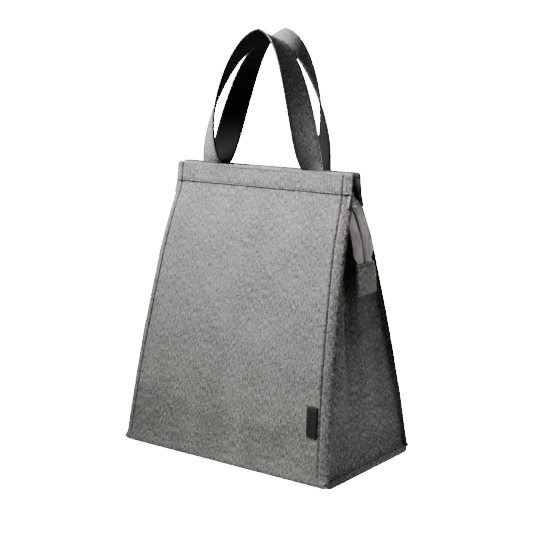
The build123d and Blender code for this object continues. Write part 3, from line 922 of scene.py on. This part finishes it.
def gusset_cloth(points, back, left, seed):
    """Cloth of half a gusset, with its seam's edge."""
    hand, side = hand_of(left), side_of(back)
    wear_and_fold_shade = np.zeros(points.shape[:2])
    wear_and_fold_shade[:, :4] = 0.7
    uv = spread_uv(points)
    uv[..., 0] = (uv[..., 0] - uv[..., -1:, 0]) * (-1 if back else 1) + 0.3 * seed
    name = f"gusset_cloth_{side}_{hand}"
    piece = grid_piece(name, turn(points, back, left), uv, flip=back != left, wear_and_fold_shade=wear_and_fold_shade)
    dress(thicken(piece, CLOTH * 0.8), CLOTH_LOOK)
    gusset_blend(piece, back)
    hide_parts("gusset_cloth_" + hand)


def gusset_stitches(points, back, left):
    """Two rows of thread on the edge of a gusset's seam."""
    rise, over = np.diff(points, axis=0)[:, 1:], np.diff(points, axis=1)[1:]
    normals = unit(np.cross(over, rise))
    runs = [(points[4:, column], normals[3:, column]) for column in (2, 6)]
    name = f"gusset_stitches_{side_of(back)}_{hand_of(left)}"
    gusset_blend(stitch_piece(name, runs, SEAM_THREAD_LOOK, back, left), back)


def gusset_foam(points, back, left):
    hand, side = hand_of(left), side_of(back)
    name = f"gusset_foam_{side}_{hand}"
    foam = grid_piece(name, turn(points, back, left), spread_uv(points), flip=back != left)
    gusset_blend(foam, back)
    dress(thicken(foam, FOAM * 0.9, 0.0), FOAM_LOOK)
    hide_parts("gusset_foam_" + hand)


def gusset_foil(points, back, left, seed):
    hand, side = hand_of(left), side_of(back)
    points[..., 0] += lumps(points, seed + 5, (0.35, 7))
    name = f"gusset_foil_{side}_{hand}"
    foil = grid_piece(name, turn(points, back, left), spread_uv(points), flip=back != left)
    gusset_blend(foil, back)
    dress(thicken(foil, FOIL_THICK), FOIL_LOOK)
    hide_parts("gusset_liner_" + hand)


def gusset_half(back, left, seed):
    """Half of one gusset, from its wall's seam to its middle fold: cloth, stitches, foam and foil."""
    dents = gusset_buckle(seed)
    points = gusset_grid(seed, 0.0, dents)
    gusset_cloth(points, back, left, seed)
    gusset_stitches(points, back, left)
    gusset_foam(gusset_grid(seed, CLOTH + FOAM / 2, dents, to_seam=False), back, left)
    gusset_foil(gusset_grid(seed, CLOTH + FOAM + FOIL_THICK, dents, to_seam=False), back, left, seed)


# ---- seam under each gusset ---------------------------------------------------------------------
# section of the doubled edge: along its slope from the stitches, and out from its middle
SKIRT_SECTION = (
    (-0.8, 0.6), (-0.1, -0.3), (0.5, -0.85), (1.2, -0.1), (2.2, 0.65), (4.2, 0.8), (6.2, 0.75),
    (7.5, 0.5), (8.1, 0.1), (7.7, -0.2), (8.0, -0.6), (7.0, -1.1), (4.0, -1.2), (0.5, -1.2), (-0.8, -0.9),
)
SKIRT_END = 62 * MM


def skirt(left, seed):
    """The pinched seam between base and gusset, slanting out to the floor, with rounded ends."""
    hand = hand_of(left)
    ends = DEPTH_HALF - 2.2 * MM
    y = np.concatenate([np.linspace(-ends, -SKIRT_END, 16)[:-1], np.linspace(-SKIRT_END, SKIRT_END, 60)])
    y = np.concatenate([y, np.linspace(SKIRT_END, ends, 16)[1:]])[:, None]
    past = np.clip((np.abs(y) - SKIRT_END) / (ends + 0.4 * MM - SKIRT_END), 0, 1)
    reach = np.sqrt(1 - past**2)
    section = np.array(SKIRT_SECTION) * MM
    along, out = section[None, :, 0], section[None, :, 1]
    slope = math.radians(38)
    down = along * np.where(along > 0, 0.12 + 0.88 * reach, 1.0)
    place = grid(along, y, out)
    lift = out + 0.25 * MM * rough(place, 12 * MM, seed) * np.clip(along / (4 * MM), 0, 1)
    x = BASE_HALF + down * math.cos(slope) + lift * math.sin(slope)
    z = GUSSET_FOOT - down * math.sin(slope) + lift * math.cos(slope)
    points = grid(x, y, np.maximum(z, 0.05 * MM))
    uv = grid(loop_length(section), y)
    wear_and_fold_shade = 0.8 * ease(along, 6.5 * MM, 8 * MM) + 0 * y
    piece = grid_piece("base_skirt_" + hand, turn(points, left=left), uv, closed=True, wear_and_fold_shade=wear_and_fold_shade)
    # painted light: the lighter copy of the melange cloth
    dress(piece, PAINTED_LIGHT_CLOTH_LOOK)
    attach(piece, "base")
    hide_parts("base_seam_" + hand)

    stitched = np.linspace(-ends + 6 * MM, ends - 6 * MM, 60)
    flat = grid(BASE_HALF + 0.55 * MM, stitched, GUSSET_FOOT - 0.25 * MM)
    normal = np.tile([math.sin(slope), 0, math.cos(slope)], (len(stitched), 1))
    name = "base_stitches_" + hand
    thread = stitch_piece(name, [(flat, normal)], THREAD_LOOK, left=left)
    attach(thread, "base")


# ---- padding and lining -------------------------------------------------------------------------
def wall_foam(back):
    """Foam sheet of one wall, pushed in a little behind the straps' feet."""
    side = side_of(back)
    z = np.linspace(FOLD + 1.5 * MM, HEIGHT - 5.5 * MM, 96)[:, None]
    share = np.linspace(-1, 1, 60)[None, :]
    x = share * (half_width(z) - SEAM_IN - 1.3 * MM)
    middle = CLOTH + FOAM / 2
    strap = ease(np.abs(np.abs(x) - STRAP_X), STRAP_WIDTH / 2 + 2 * MM, STRAP_WIDTH / 2)
    behind = strap * ease(z, HEIGHT - 22 * MM, HEIGHT - 18 * MM) * 0.2 * MM
    points = grid(x, wall_y(z, middle + behind), z)
    foam = grid_piece(side + "_padding", turn(points, back), spread_uv(points), flip=back)
    dress(thicken(foam, FOAM * 0.7, 0.0), FOAM_LOOK)
    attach(foam, side + "_wall")
    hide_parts(side + "_foam")


def wall_foil(back, seed):
    """Crinkled foil lining of one wall."""
    side = side_of(back)
    z = np.linspace(FOLD + 0.5 * MM, facing_foot + 2 * MM, 120)[:, None]
    share = np.linspace(-1, 1, 110)[None, :]
    x = share * (half_width(z) - 1.0 * MM)
    points = grid(x, wall_y(z, FACING_DEPTH + 0.15 * MM), z)
    points[..., 1] += np.clip(lumps(points, seed, (0.32, 9), (0.45, 31)), -0.25 * MM, 0.9 * MM)
    foil = grid_piece(side + "_foil", turn(points, back), spread_uv(points), flip=not back)
    dress(thicken(foil, FOIL_THICK), FOIL_LOOK)
    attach(foil, side + "_wall")
    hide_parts(side + "_liner")


def base_inner():
    """The base board, with foam and foil over it."""
    foam_low, foam_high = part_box("base_foam")
    liner_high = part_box("base_liner")[1]
    x = np.linspace(foam_low.x, foam_high.x, 70)[None, :]
    y = np.linspace(foam_low.y, foam_high.y, 44)[:, None]
    flat = grid(x, y, 0.0)
    middle = (foam_low.z + foam_high.z) / 2
    foam = grid_piece("base_padding", flat + [0, 0, middle], spread_uv(flat))
    dress(thicken(foam, FOAM * 0.94, 0.0), FOAM_LOOK)
    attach(foam, "base")
    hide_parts("base_foam")
    lift = flat + [0, 0, liner_high.z]
    lift[..., 2] += np.clip(lumps(flat, 71, (0.35, 9), (0.5, 33)), -0.2 * MM, 0.9 * MM)
    foil = grid_piece("base_foil", lift, spread_uv(flat))
    dress(thicken(foil, FOIL_THICK), FOIL_LOOK)
    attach(foil, "base")
    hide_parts("base_liner")
    dress(soften(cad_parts["base_board"], 0.4 * MM), BOARD_LOOK)


# ---- handles ------------------------------------------------------------------------------------
STRAP_TOP = 404 * MM  # middle of the strap at the top of the arch
STRAP_START = HEIGHT + 0.8 * MM
TOP_FORWARD = 14 * MM
RISE_OUT, RISE_FORWARD, RISE_Z = -0.4 * MM, 27 * MM, 320 * MM
SHOULDER_OUT, SHOULDER_FORWARD, SHOULDER_Z = 33 * MM, 14.9 * MM, 404.4 * MM
TILT = math.radians(26.5)
TURN_EASE = 0.64  # below 1, a leg does more of its quarter turn near the foot
FRONT_TOP_X, BACK_TOP_X = 10.7 * MM, 6 * MM
FOOT_TUCK = 18 * MM


def leg_stations(hand, top_x, count):
    """Middle, across and outward face of the front strap, from a foot to the top of the arch."""
    controls = np.array([
        [hand * STRAP_X, wall_y(HEIGHT, FOOT_DEPTH), STRAP_START],
        [hand * (STRAP_X + RISE_OUT), -RISE_FORWARD, RISE_Z],
        [top_x + hand * SHOULDER_OUT, -SHOULDER_FORWARD, SHOULDER_Z],
        [top_x, -TOP_FORWARD, STRAP_TOP],
    ])
    share = np.linspace(0, 1, count)[:, None]
    rest = 1 - share
    a, b, c, d = controls
    middle = a * rest**3 + 3 * b * rest**2 * share + 3 * c * rest * share**2 + d * share**3
    way = unit((b - a) * rest**2 + 2 * (c - b) * rest * share + (d - c) * share**2)
    inside = unit(np.cross(way, [0, 1, 0])) * hand
    quarter = math.pi / 2 * share**TURN_EASE
    across = unit(inside * np.cos(quarter) + np.array([0, -1, 0]) * np.sin(quarter))
    across = unit(across - way * np.sum(across * way, axis=1, keepdims=True))
    face = np.cross(way, across) * hand
    tilt = TILT * share**2
    return (
        middle,
        across * np.cos(tilt) + face * np.sin(tilt),
        face * np.cos(tilt) - across * np.sin(tilt),
    )


def strap_stations(top_x):
    """Stations of the whole front strap: left foot, left leg, right leg, right foot."""
    legs = []
    for hand in (-1, 1):
        middle, across, face = leg_stations(hand, top_x, 44)
        z = np.linspace(HEIGHT - FOOT_TUCK, HEIGHT - 0.5 * MM, 8)
        foot = grid(hand * STRAP_X, wall_y(z, FOOT_DEPTH), z)
        out = unit(np.array([0, -1, NECK_SLOPE]))
        legs.append((
            np.concatenate([foot, middle]),
            np.concatenate([np.tile([-hand, 0, 0], (len(z), 1)), across]),
            np.concatenate([np.tile(out, (len(z), 1)), face]),
        ))
    return [np.concatenate([left, right[-2::-1]]) for left, right in zip(*legs)]


def strap_section(width, near, far, groove_at=None, count=23):
    """Closed section of a flat strap: (across, out) points with rounded edges and, where it is
    sewn, a shallow line of stitching."""
    radius = abs(far - near) / 2
    half = width / 2 - radius
    run = np.linspace(-half, half, count)
    top = far + 0.12 * MM * np.cos(run / half * math.pi / 2)
    if groove_at is not None:
        top = top - 0.22 * MM * hollow(np.abs(run) - groove_at, 0.8 * MM)
    angle = np.linspace(math.pi / 2, -math.pi / 2, 7)[1:-1]
    middle = (near + far) / 2
    edge = grid(half + radius * np.cos(angle), middle + radius * np.sin(angle))
    under = grid(run[::-1], near)
    other = edge[::-1] * np.array([-1, 1])
    return np.concatenate([grid(run, top), edge, under, other])


STITCH_IN = 10.3 * MM  # from the middle of a strap to its rows of stitching


def strap_layer(name, stations, section, seed, look, back):
    middle, across, face = stations
    waver = 0.5 * MM * rough(middle * np.array([1, 0, 1]), 55 * MM, seed)[:, None]
    twist = 0.03 * rough(middle, 70 * MM, seed + 3)[:, None]
    steady = ease(middle[:, 2:3], HEIGHT, HEIGHT + 22 * MM)
    across = across + face * twist * steady
    middle = middle + face * waver * steady
    points = (
        middle[:, None] + across[:, None] * section[None, :, :1] + face[:, None] * section[None, :, 1:]
    )
    lengths = run_length(middle)
    uv = grid(loop_length(section) + 0.2 * seed, lengths[:, None])
    edge = ease(np.abs(section[:, 0]), STRAP_WIDTH / 2 - 2 * MM, STRAP_WIDTH / 2 - 0.5 * MM)
    wear_and_fold_shade = np.tile(edge, (len(middle), 1))
    piece = grid_piece(name, turn(points, back), uv, closed=True, wear_and_fold_shade=wear_and_fold_shade)
    return dress(piece, look), lengths[-1], (middle, across, face)


def handle(back, seed):
    side = side_of(back)
    top_x = BACK_TOP_X if back else FRONT_TOP_X
    stations = strap_stations(top_x)
    outer = strap_section(STRAP_WIDTH, 0.03 * MM, STRAP_LAYER, STITCH_IN)
    inner = strap_section(STRAP_WIDTH - 1 * MM, -0.03 * MM, -STRAP_LAYER)
    layers = (
        ("strap", outer, STRAP_LOOK, "melange_cloth"),
        ("lining", inner, WEBBING_LOOK, "black_webbing"),
    )
    for part, section, look, slot in layers:
        piece, length, laid = strap_layer(f"{side}_{part}", stations, section, seed, look, back)
        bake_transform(piece)
        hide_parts(f"{side}_handle_{part}", side + "_handle_feet")
    middle, across, face = laid
    above = middle[:, 2] > HEIGHT + 1.5 * MM
    runs = []
    for hand in (-1, 1):
        route = middle + across * (hand * STITCH_IN) + face * (STRAP_LAYER - 0.1 * MM)
        runs.append((route[above], face[above]))
    thread = stitch_piece(side + "_strap_stitches", runs, THREAD_LOOK, back)
    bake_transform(thread)


# ---- zip ----------------------------------------------------------------------------------------
COIL_PITCH = 1.3 * MM
SLIT, TAIL_SLIT = 0.5 * MM, 1.7 * MM  # half the gap between the tapes, in the mouth and in a tail


def tape_section():
    """Section of the front zip tape from where it is sewn to the facing down to the slit."""
    sewn = [(wall_y(h, WALL_DEPTH + 0.35 * MM), h) for h in np.linspace(258, 254.5, 5) * MM]
    slope = [(-6.4, 252.2), (-5.3, 249.4), (-4.5, 247.8), (-3.8, 247.05), (-3.1, 246.8), (-2.5, 246.95)]
    slope += [(-1.9, 247.1), (-1.3, 247.1), (-0.8, 246.95), (-0.55, 246.6), (-0.5, 246.1)]
    return np.array(sewn + [(y * MM, z * MM) for y, z in slope])


def zip_half(back, left, seed):
    """Half of one zip tape with its coil, from the middle of the mouth to one end."""
    hand, side = hand_of(left), side_of(back)
    section = tape_section()
    x = np.linspace(0, TAPE_END, 100)[:, None]
    points = grid(x, *section.T)
    free = np.linspace(0, 1, len(section))[None, :]
    slack = np.sin(math.pi * free) * 0.35 * MM * rough(points * np.array([1, 0.2, 0.2]), 18 * MM, seed)
    points[..., 2] += slack
    uv = spread_uv(points)[..., ::-1]
    tape = grid_piece(f"{side}_tape_{hand}", turn(points, back, left), uv, flip=back == left)
    dress(thicken(tape, TAPE_THICK), TAPE_LOOK)
    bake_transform(tape)
    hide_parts(side + "_zip_tape")

    shift = COIL_PITCH / 2 if back else 0.0
    places = np.arange(COIL_PITCH / 2 + shift, TEETH_END, COIL_PITCH)
    frames = [(Vector((p, 0, ZIP_Z)), Vector((1, 0, 0)), Vector((0, 0, 1))) for p in places]
    coil = coil_piece(f"{side}_coil_{hand}", frames, back, left)
    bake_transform(coil)
    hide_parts(side + "_zip_teeth")


# side view of one turn of the coil, in mm: towards the back, and up
COIL_LOOP = (
    (-2.0, -0.45), (-1.2, -0.75), (-0.3, -0.7), (0.25, -0.2), (-0.3, 0.35), (-1.2, 0.42), (-2.0, 0.1),
)
COIL_SIDES, WIRE_RADIUS = 6, 0.36 * MM


def coil_piece(name, frames, back, left):
    """Turns of a zip coil: each is a bent round wire that reaches just past the middle."""
    points, faces = [], []
    for origin, way, up in frames:
        over = up.cross(way).normalized()  # towards the back
        route = [origin + over * (y * MM) + up * (z * MM) for y, z in COIL_LOOP]
        first = len(points)
        for k, here in enumerate(route):
            ahead = route[min(k + 1, len(route) - 1)] - route[max(k - 1, 0)]
            side = ahead.cross(way).normalized()
            for s in range(COIL_SIDES):
                angle = math.tau * s / COIL_SIDES
                spoke = side * math.cos(angle) + way * math.sin(angle)
                points.append(here + spoke * WIRE_RADIUS)
        for k in range(len(route) - 1):
            for s in range(COIL_SIDES):
                a, b = first + k * COIL_SIDES + s, first + k * COIL_SIDES + (s + 1) % COIL_SIDES
                faces.append((a, b, b + COIL_SIDES, a + COIL_SIDES))
        last = first + (len(route) - 1) * COIL_SIDES
        faces.append(tuple(first + s for s in range(COIL_SIDES)))
        faces.append(tuple(last + s for s in range(COIL_SIDES)))
    mesh = bpy.data.meshes.new(name)
    mesh.from_pydata(turn(np.array(points), back, left).tolist(), [], faces)
    outward(mesh)
    mesh.shade_smooth()
    return dress(link(name, mesh), COIL_LOOK)


# distance out, height, half width, slope below level in degrees, crown and how cupped it is
TAIL_ROUTE = (
    (94.0, 248.6, 7.0, 16, 0.0, 1.0),
    (97.0, 248.0, 7.2, 34, 0.1, 0.85),
    (101.0, 244.6, 9.0, 50, 0.4, 0.5),
    (104.5, 239.0, 11.0, 64, 0.9, 0.22),
    (107.6, 231.0, 12.3, 71, 1.3, 0.05),
    (109.8, 223.7, 13.0, 76, 1.6, 0.0),
    (112.0, 215.0, 13.6, 80, 1.9, 0.0),
    (113.4, 207.0, 13.6, 83, 1.8, 0.0),
    (114.0, 202.6, 12.4, 85, 1.0, 0.0),
    (114.6, 197.5, 11.6, 86, 0.2, 0.0),
)

TAIL_BACK_WIDER = 2.6 * MM  # the back strip is this much wider than the front one at its middle


def tail_stations(count):
    """Smooth stations along the right zip tail: one row for each, with TAIL_ROUTE's columns."""
    route = np.array(TAIL_ROUTE)
    route[:, :3] *= MM
    lengths = run_length(route[:, :2])
    places = np.linspace(0, lengths[-1], count)
    rows = []
    for place in places:
        k = int(np.clip(np.searchsorted(lengths, place) - 1, 0, len(route) - 2))
        t = (place - lengths[k]) / (lengths[k + 1] - lengths[k])
        before, a = route[max(k - 1, 0)], route[k]
        b, after = route[k + 1], route[min(k + 2, len(route) - 1)]
        rows.append(0.5 * (2 * a + (b - before) * t + (2 * before - 5 * a + 4 * b - after) * t**2
                           + (3 * a - before - 3 * b + after) * t**3))
    return np.array(rows), places


def tail_strip(back, left, seed):
    """One strip of the zip's free tail: cupped where it leaves the mouth, then crowned, and
    gathered where it enters the end tab."""
    hand, side = hand_of(left), side_of(back)
    rows, places = tail_stations(64)
    x, z, half, slope, crown, cup = (rows[:, k][:, None] for k in range(6))
    slope = np.radians(slope)
    q = np.linspace(0, 1, 26)[None, :]
    wide = half + TAIL_BACK_WIDER * back * np.sin(math.pi * places[:, None] / places[-1])
    y = -(TAIL_SLIT + (wide - TAIL_SLIT) * q)
    fuller = 1.9 if back else 1.2
    rise = fuller * crown * MM * np.sin(math.pi * q) ** 0.6
    rise = rise - 1.6 * MM * hollow(q, 0.06) - 0.9 * MM * hollow(q - 0.32, 0.04) * ease(crown, 0.3, 1.2)
    rise = rise + cup * 9.0 * MM * np.clip((q - 0.3) / 0.7, 0, 1) ** 1.6
    roll = -2.2 * MM * ease(q, 0.84, 1.0) * ease(crown, 0.3, 1.2)
    gather = ease(places[:, None], places[-1] - 15 * MM, places[-1] - 4 * MM)
    folds = 0.55 * MM * gather * np.sin(q * math.tau * 1.7 + 0.9 * seed)
    place = grid(x, y, z)
    rise = rise + roll + folds + 0.35 * MM * rough(place, 16 * MM, seed) * ease(crown, 0.2, 1.0)
    points = grid(x + rise * np.sin(slope), y, z + rise * np.cos(slope))
    uv = spread_uv(points)
    # painted shade: darker bands across the gathered end, in the valleys of its folds
    wear_and_fold_shade = gather * (0.5 + 0.5 * np.sin(q * math.tau * 2.2 + 0.9 * seed + math.pi))
    piece = grid_piece(f"tail_{side}_{hand}", turn(points, back, left), uv, flip=back == left, wear_and_fold_shade=wear_and_fold_shade)
    dress(thicken(piece, 0.45 * MM), TAPE_LOOK)
    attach(piece, "base")
    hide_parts("zip_tail_" + hand)


def tail_coil(left):
    """Coil under the two strips of a tail."""
    hand = hand_of(left)
    rows, places = tail_stations(240)
    for back in (False, True):
        shift = COIL_PITCH / 2 if back else 0.0
        frames = []
        for place in np.arange(1 * MM + shift, places[-1] - 1 * MM, COIL_PITCH):
            x, z, slope = (np.interp(place, places, rows[:, k]) for k in (0, 1, 3))
            angle = math.radians(slope)
            way = Vector((math.cos(angle), 0, -math.sin(angle)))
            up = Vector((math.sin(angle), 0, math.cos(angle)))
            frames.append((Vector((x, 0, z)) - up * (0.5 * MM), way, up))
        side = side_of(back)
        piece = coil_piece(f"tail_coil_{side}_{hand}", frames, back, left)
        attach(piece, "base")
        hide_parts("zip_tail_teeth_" + hand)


TAB_LEAN = math.radians(4)
TAB_HALF, TAB_THICK = 15 * MM, 2.4 * MM
TAB_HEM, TAB_SEWN, TAB_GROOVE = 2.7 * MM, 2.6 * MM, 0.55 * MM


def end_tab(left, seed):
    """Cloth tab folded over the end of a tail: turned edges down both sides, a fold at the
    foot and one row of stitching across the top."""
    hand = hand_of(left)
    middle = Vector((tab_low + tab_high) / 2) - Vector((0, 0, 1 * MM))
    tall = (tab_high.z - tab_low.z) / math.cos(TAB_LEAN) - 1.6 * MM
    v = np.linspace(0, 1, 60)[:, None]
    section = strap_section(2 * TAB_HALF, -TAB_THICK / 2, TAB_THICK / 2, count=61)
    ends = np.sqrt(np.clip(1 - np.clip((np.abs(v - 0.5) - 0.465) / 0.035, 0, 1) ** 2, 0.03, 1))
    flare = 1 + 0.02 * (1 - v) - 0.03 * hollow(v - 0.93, 0.1)
    across = section[None, :, 0] * flare * (0.97 + 0.03 * ends)
    out = section[None, :, 1] * (0.35 + 0.65 * ends)
    face = ease(section[None, :, 1], 0, TAB_THICK / 2 - 0.05 * MM)
    from_edge = TAB_HALF - np.abs(across)
    sewn = hollow((1 - v) * tall - TAB_SEWN, 0.9 * MM)
    out = out + 0.45 * MM * ease(from_edge, TAB_HEM + 0.4 * MM, TAB_HEM - 0.4 * MM) * face
    out = out - 0.5 * MM * hollow(from_edge - TAB_HEM - 0.6 * MM, 0.6 * MM) * face
    out = out - TAB_GROOVE * sewn * face
    out = out + 0.35 * MM * hollow(v * tall - 2.2 * MM, 1.6 * MM) * face
    place = grid(out, across, v * tall)
    out = out + 0.25 * MM * rough(place, 13 * MM, seed)
    curve = 0.9 * MM * (2 * v - 1) ** 2
    up = np.array([-math.sin(TAB_LEAN), 0, math.cos(TAB_LEAN)])
    outward_way = np.array([math.cos(TAB_LEAN), 0, math.sin(TAB_LEAN)])
    height = (v - 0.5) * tall
    points = np.array(middle) + across[..., None] * np.array([0, 1, 0])
    points = points + height[..., None] * up
    points = points + (out - curve + 0.4 * MM)[..., None] * outward_way
    uv = grid(loop_length(section) + 0.7 + 0.3 * seed, v * tall)
    wear_and_fold_shade = np.clip(hollow(from_edge - TAB_HEM + 0.6 * MM, 0.9 * MM) + hollow(v * tall, 1.6 * MM), 0, 1)
    piece = grid_piece("tab_" + hand, turn(points, left=left), uv, closed=True, wear_and_fold_shade=wear_and_fold_shade)
    # painted light: the lighter copy of the melange cloth
    dress(piece, PAINTED_LIGHT_CLOTH_LOOK)
    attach(piece, "base")
    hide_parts("zip_end_tab_" + hand)

    y = np.linspace(-TAB_HALF + 1 * MM, TAB_HALF - 1 * MM, 20)
    line = np.array(middle) + np.outer(y, [0, 1, 0]) + up * (tall / 2 - TAB_SEWN)
    line = line + outward_way * (TAB_THICK / 2 - TAB_GROOVE)
    runs = [(line, np.tile(outward_way, (len(y), 1)))]
    name = "tab_stitches_" + hand
    thread = stitch_piece(name, runs, DARK_THREAD_LOOK, left=left)
    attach(thread, "base")


def zip_stop(left):
    """Crimped stop at the end of the straight row: two jaws with a groove between them."""
    hand = hand_of(left)
    low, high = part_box("zip_stop_" + hand)
    middle, size = np.array((low + high) / 2), np.array(high - low)
    u = np.linspace(0, math.tau, 33)[None, :-1]
    v = np.linspace(-1, 1, 15)[:, None]
    ring = np.sqrt(np.clip(1 - np.abs(v) ** 5, 0.03, 1))
    y = np.sign(np.cos(u)) * np.abs(np.cos(u)) ** 0.5 * ring * size[1] / 2
    z = np.sign(np.sin(u)) * np.abs(np.sin(u)) ** 0.5 * ring * size[2] / 2
    z = z * (1 - 0.25 * hollow(y, 0.5 * MM))
    points = grid(v * size[0] / 2, y, z) + middle
    uv = grid(np.linspace(0, 10 * MM, 33), v * MM)
    piece = grid_piece("stop_" + hand, points, uv, closed=True)
    dress(piece, METAL_LOOK)
    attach(piece, "base")
    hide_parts("zip_stop_" + hand)


# ---- label --------------------------------------------------------------------------------------
LABEL_WIDTH, LABEL_GAP, LABEL_PROUD = 12 * MM, 5 * MM, 1.75 * MM
LABEL_HEM, LABEL_SEWN = 1.2 * MM, 1.8 * MM


def side_label():
    """Plain woven patch beside the right seam of the front, turned under at both ends."""
    z = np.linspace(label_low.z, label_high.z, 44)[:, None]
    share = np.linspace(0, 1, 22)[None, :]
    right = half_width(z) - LABEL_GAP
    edge_x = np.minimum(share, 1 - share) * LABEL_WIDTH
    edge_z = np.minimum(z - label_low.z, label_high.z - z)
    rounded = 0.5 * MM * hollow(edge_z, 0.9 * MM)
    x = right - LABEL_WIDTH * (1 - share) + rounded * (1 - 2 * share)
    from_edge = np.minimum(edge_x, edge_z) + 0.12 * MM
    proud = LABEL_PROUD * np.sqrt(np.clip(from_edge / (0.9 * MM), 0, 1))
    proud = proud - 0.3 * MM * hollow(edge_z - LABEL_SEWN, 0.6 * MM)
    place = grid(x, 0.0, z)
    proud = proud + 0.12 * MM * rough(place, 6 * MM, 91)
    points = grid(x, wall_y(z, 0.3 * MM - proud), z)
    uv = grid(x, z)
    piece = thicken(grid_piece("side_label", points, uv), 0.4 * MM)
    dress(piece, LABEL_LOOK)
    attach(piece, "front_wall")
    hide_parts("label")
    runs = []
    for height in (label_low.z + LABEL_SEWN, label_high.z - LABEL_SEWN):
        far = half_width(height) - LABEL_GAP
        x = np.linspace(far - LABEL_WIDTH + LABEL_HEM, far - LABEL_HEM, 8)
        runs.append(on_wall(x, height, -1.2 * MM))
    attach(stitch_piece("label_stitches", runs, DARK_THREAD_LOOK), "front_wall")


# ---- the whole bag ------------------------------------------------------------------------------
for is_back in (False, True):
    end_name = side_of(is_back)
    wall_cloth(end_name + "_cloth", is_back, 3 + 20 * is_back)
    band(end_name + "_band_cloth", is_back, 5 + 20 * is_back)
    wall_stitches(is_back)
    wall_foam(is_back)
    wall_foil(is_back, 7 + 20 * is_back)
    handle(is_back, 9 + 20 * is_back)
for is_left in (False, True):
    for is_back in (False, True):
        seed = 30 + 2 * is_left + is_back
        gusset_half(is_back, is_left, 40 + is_left)
        zip_half(is_back, is_left, seed)
        tail_strip(is_back, is_left, seed)
    skirt(is_left, 51 + is_left)
    tail_coil(is_left)
    end_tab(is_left, 61 + is_left)
    zip_stop(is_left)
base_inner()
side_label()
for node in ("zip_slider", "zip_pull"):
    dress(soften(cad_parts[node], 0.22 * MM), METAL_LOOK)


# ---- stage, light and camera --------------------------------------------------------------------
def camera_only(nodes, links, light):
    """Strength of a glow that the camera sees and that lights nothing."""
    path, strength = nodes.new("ShaderNodeLightPath"), nodes.new("ShaderNodeMath")
    strength.operation = "MULTIPLY"
    strength.inputs[1].default_value = light
    links.new(path.outputs["Is Camera Ray"], strength.inputs[0])
    return strength.outputs[0]


def plain_stage():
    """Pale floor in a white surround."""
    tree = Tree("floor", Roughness=0.9, Specular_IOR_Level=0.0)
    grain = tree.noise(tree.place(), 3.0, 2.0)
    tree.finish(tree.tones(grain, [(0.3, (0.80, 0.80, 0.79)), (0.7, (0.82, 0.82, 0.81))]))
    tree.shader.inputs["Emission Color"].default_value = (1, 1, 1, 1)
    tree.links.new(camera_only(tree.nodes, tree.links, WHITE), tree.shader.inputs["Emission Strength"])
    bpy.ops.mesh.primitive_circle_add(vertices=96, radius=30, fill_type="NGON", location=(0, 0, -0.4 * MM))
    floor = bpy.context.object
    floor.name = "floor"
    floor.data.materials.append(tree.material)
    world = bpy.data.worlds.new("studio")
    bpy.context.scene.world = world
    world.use_nodes = True
    nodes, links = world.node_tree.nodes, world.node_tree.links
    background = nodes["Background"]
    background.inputs["Color"].default_value = (1, 1, 1, 1)
    raised = nodes.new("ShaderNodeMath")
    raised.operation = "ADD"
    raised.inputs[1].default_value = AMBIENT
    links.new(camera_only(nodes, links, WHITE), raised.inputs[0])
    links.new(raised.outputs[0], background.inputs["Strength"])


def softbox(name, place, aim, size, power, spread):
    light = bpy.data.lights.new(name, "AREA")
    light.shape = "SQUARE"
    light.size = size
    light.energy = power
    light.spread = math.radians(spread)
    holder = bpy.data.objects.new(name, light)
    bpy.context.scene.collection.objects.link(holder)
    holder.location = place
    holder.rotation_euler = (Vector(aim) - Vector(place)).to_track_quat("-Z", "Y").to_euler()
    holder.visible_camera = False
    return holder


AMBIENT, WHITE = 0.02, 30.0
# name, place, the point it is turned to, size, power and spread in degrees
LIGHTS = (
    ("key", (-0.42, -0.44, 0.84), (0, 0.02, 0.46), 0.3, 4.6, 68),
    ("top", (0.5, 0.1, 1.5), (0.1, 0, 0.2), 0.7, 0.8, 180),
    ("side", (0.36, -0.1, 0.95), (0.112, 0, 0.228), 0.06, 0.005, 7),
    ("right", (0.7, -0.55, 0.25), (0.11, 0.0, 0.12), 0.14, 0.006, 30),
    ("low", (0.22, 0.03, 0.03), (0.12, 0.03, 0.03), 0.08, 0.019, 140),
)
plain_stage()
for lamp in LIGHTS:
    softbox(*lamp)

VIEW_AZIMUTH, VIEW_ELEVATION = math.radians(37.09), math.radians(10.55)
VIEW_ANGLE, VIEW_DISTANCE = math.radians(24), 1231 * MM
AIM_RIGHT, AIM_UP = 1.3 * MM, 40.9 * MM


def photo_camera():
    data = bpy.data.cameras.new("camera")
    camera = bpy.data.objects.new("camera", data)
    bpy.context.scene.collection.objects.link(camera)
    data.lens = data.sensor_width / 2 / math.tan(VIEW_ANGLE / 2)
    level = math.cos(VIEW_ELEVATION)
    across, ahead = math.sin(VIEW_AZIMUTH) * level, -math.cos(VIEW_AZIMUTH) * level
    back = Vector((across, ahead, math.sin(VIEW_ELEVATION)))
    turned = (-back).to_track_quat("-Z", "Y")
    right, up = turned @ Vector((1, 0, 0)), turned @ Vector((0, 1, 0))
    camera.location = Vector((0, 0, HEIGHT / 2)) + right * AIM_RIGHT + up * AIM_UP + back * VIEW_DISTANCE
    camera.rotation_euler = turned.to_euler()
    bpy.context.scene.camera = camera


photo_camera()
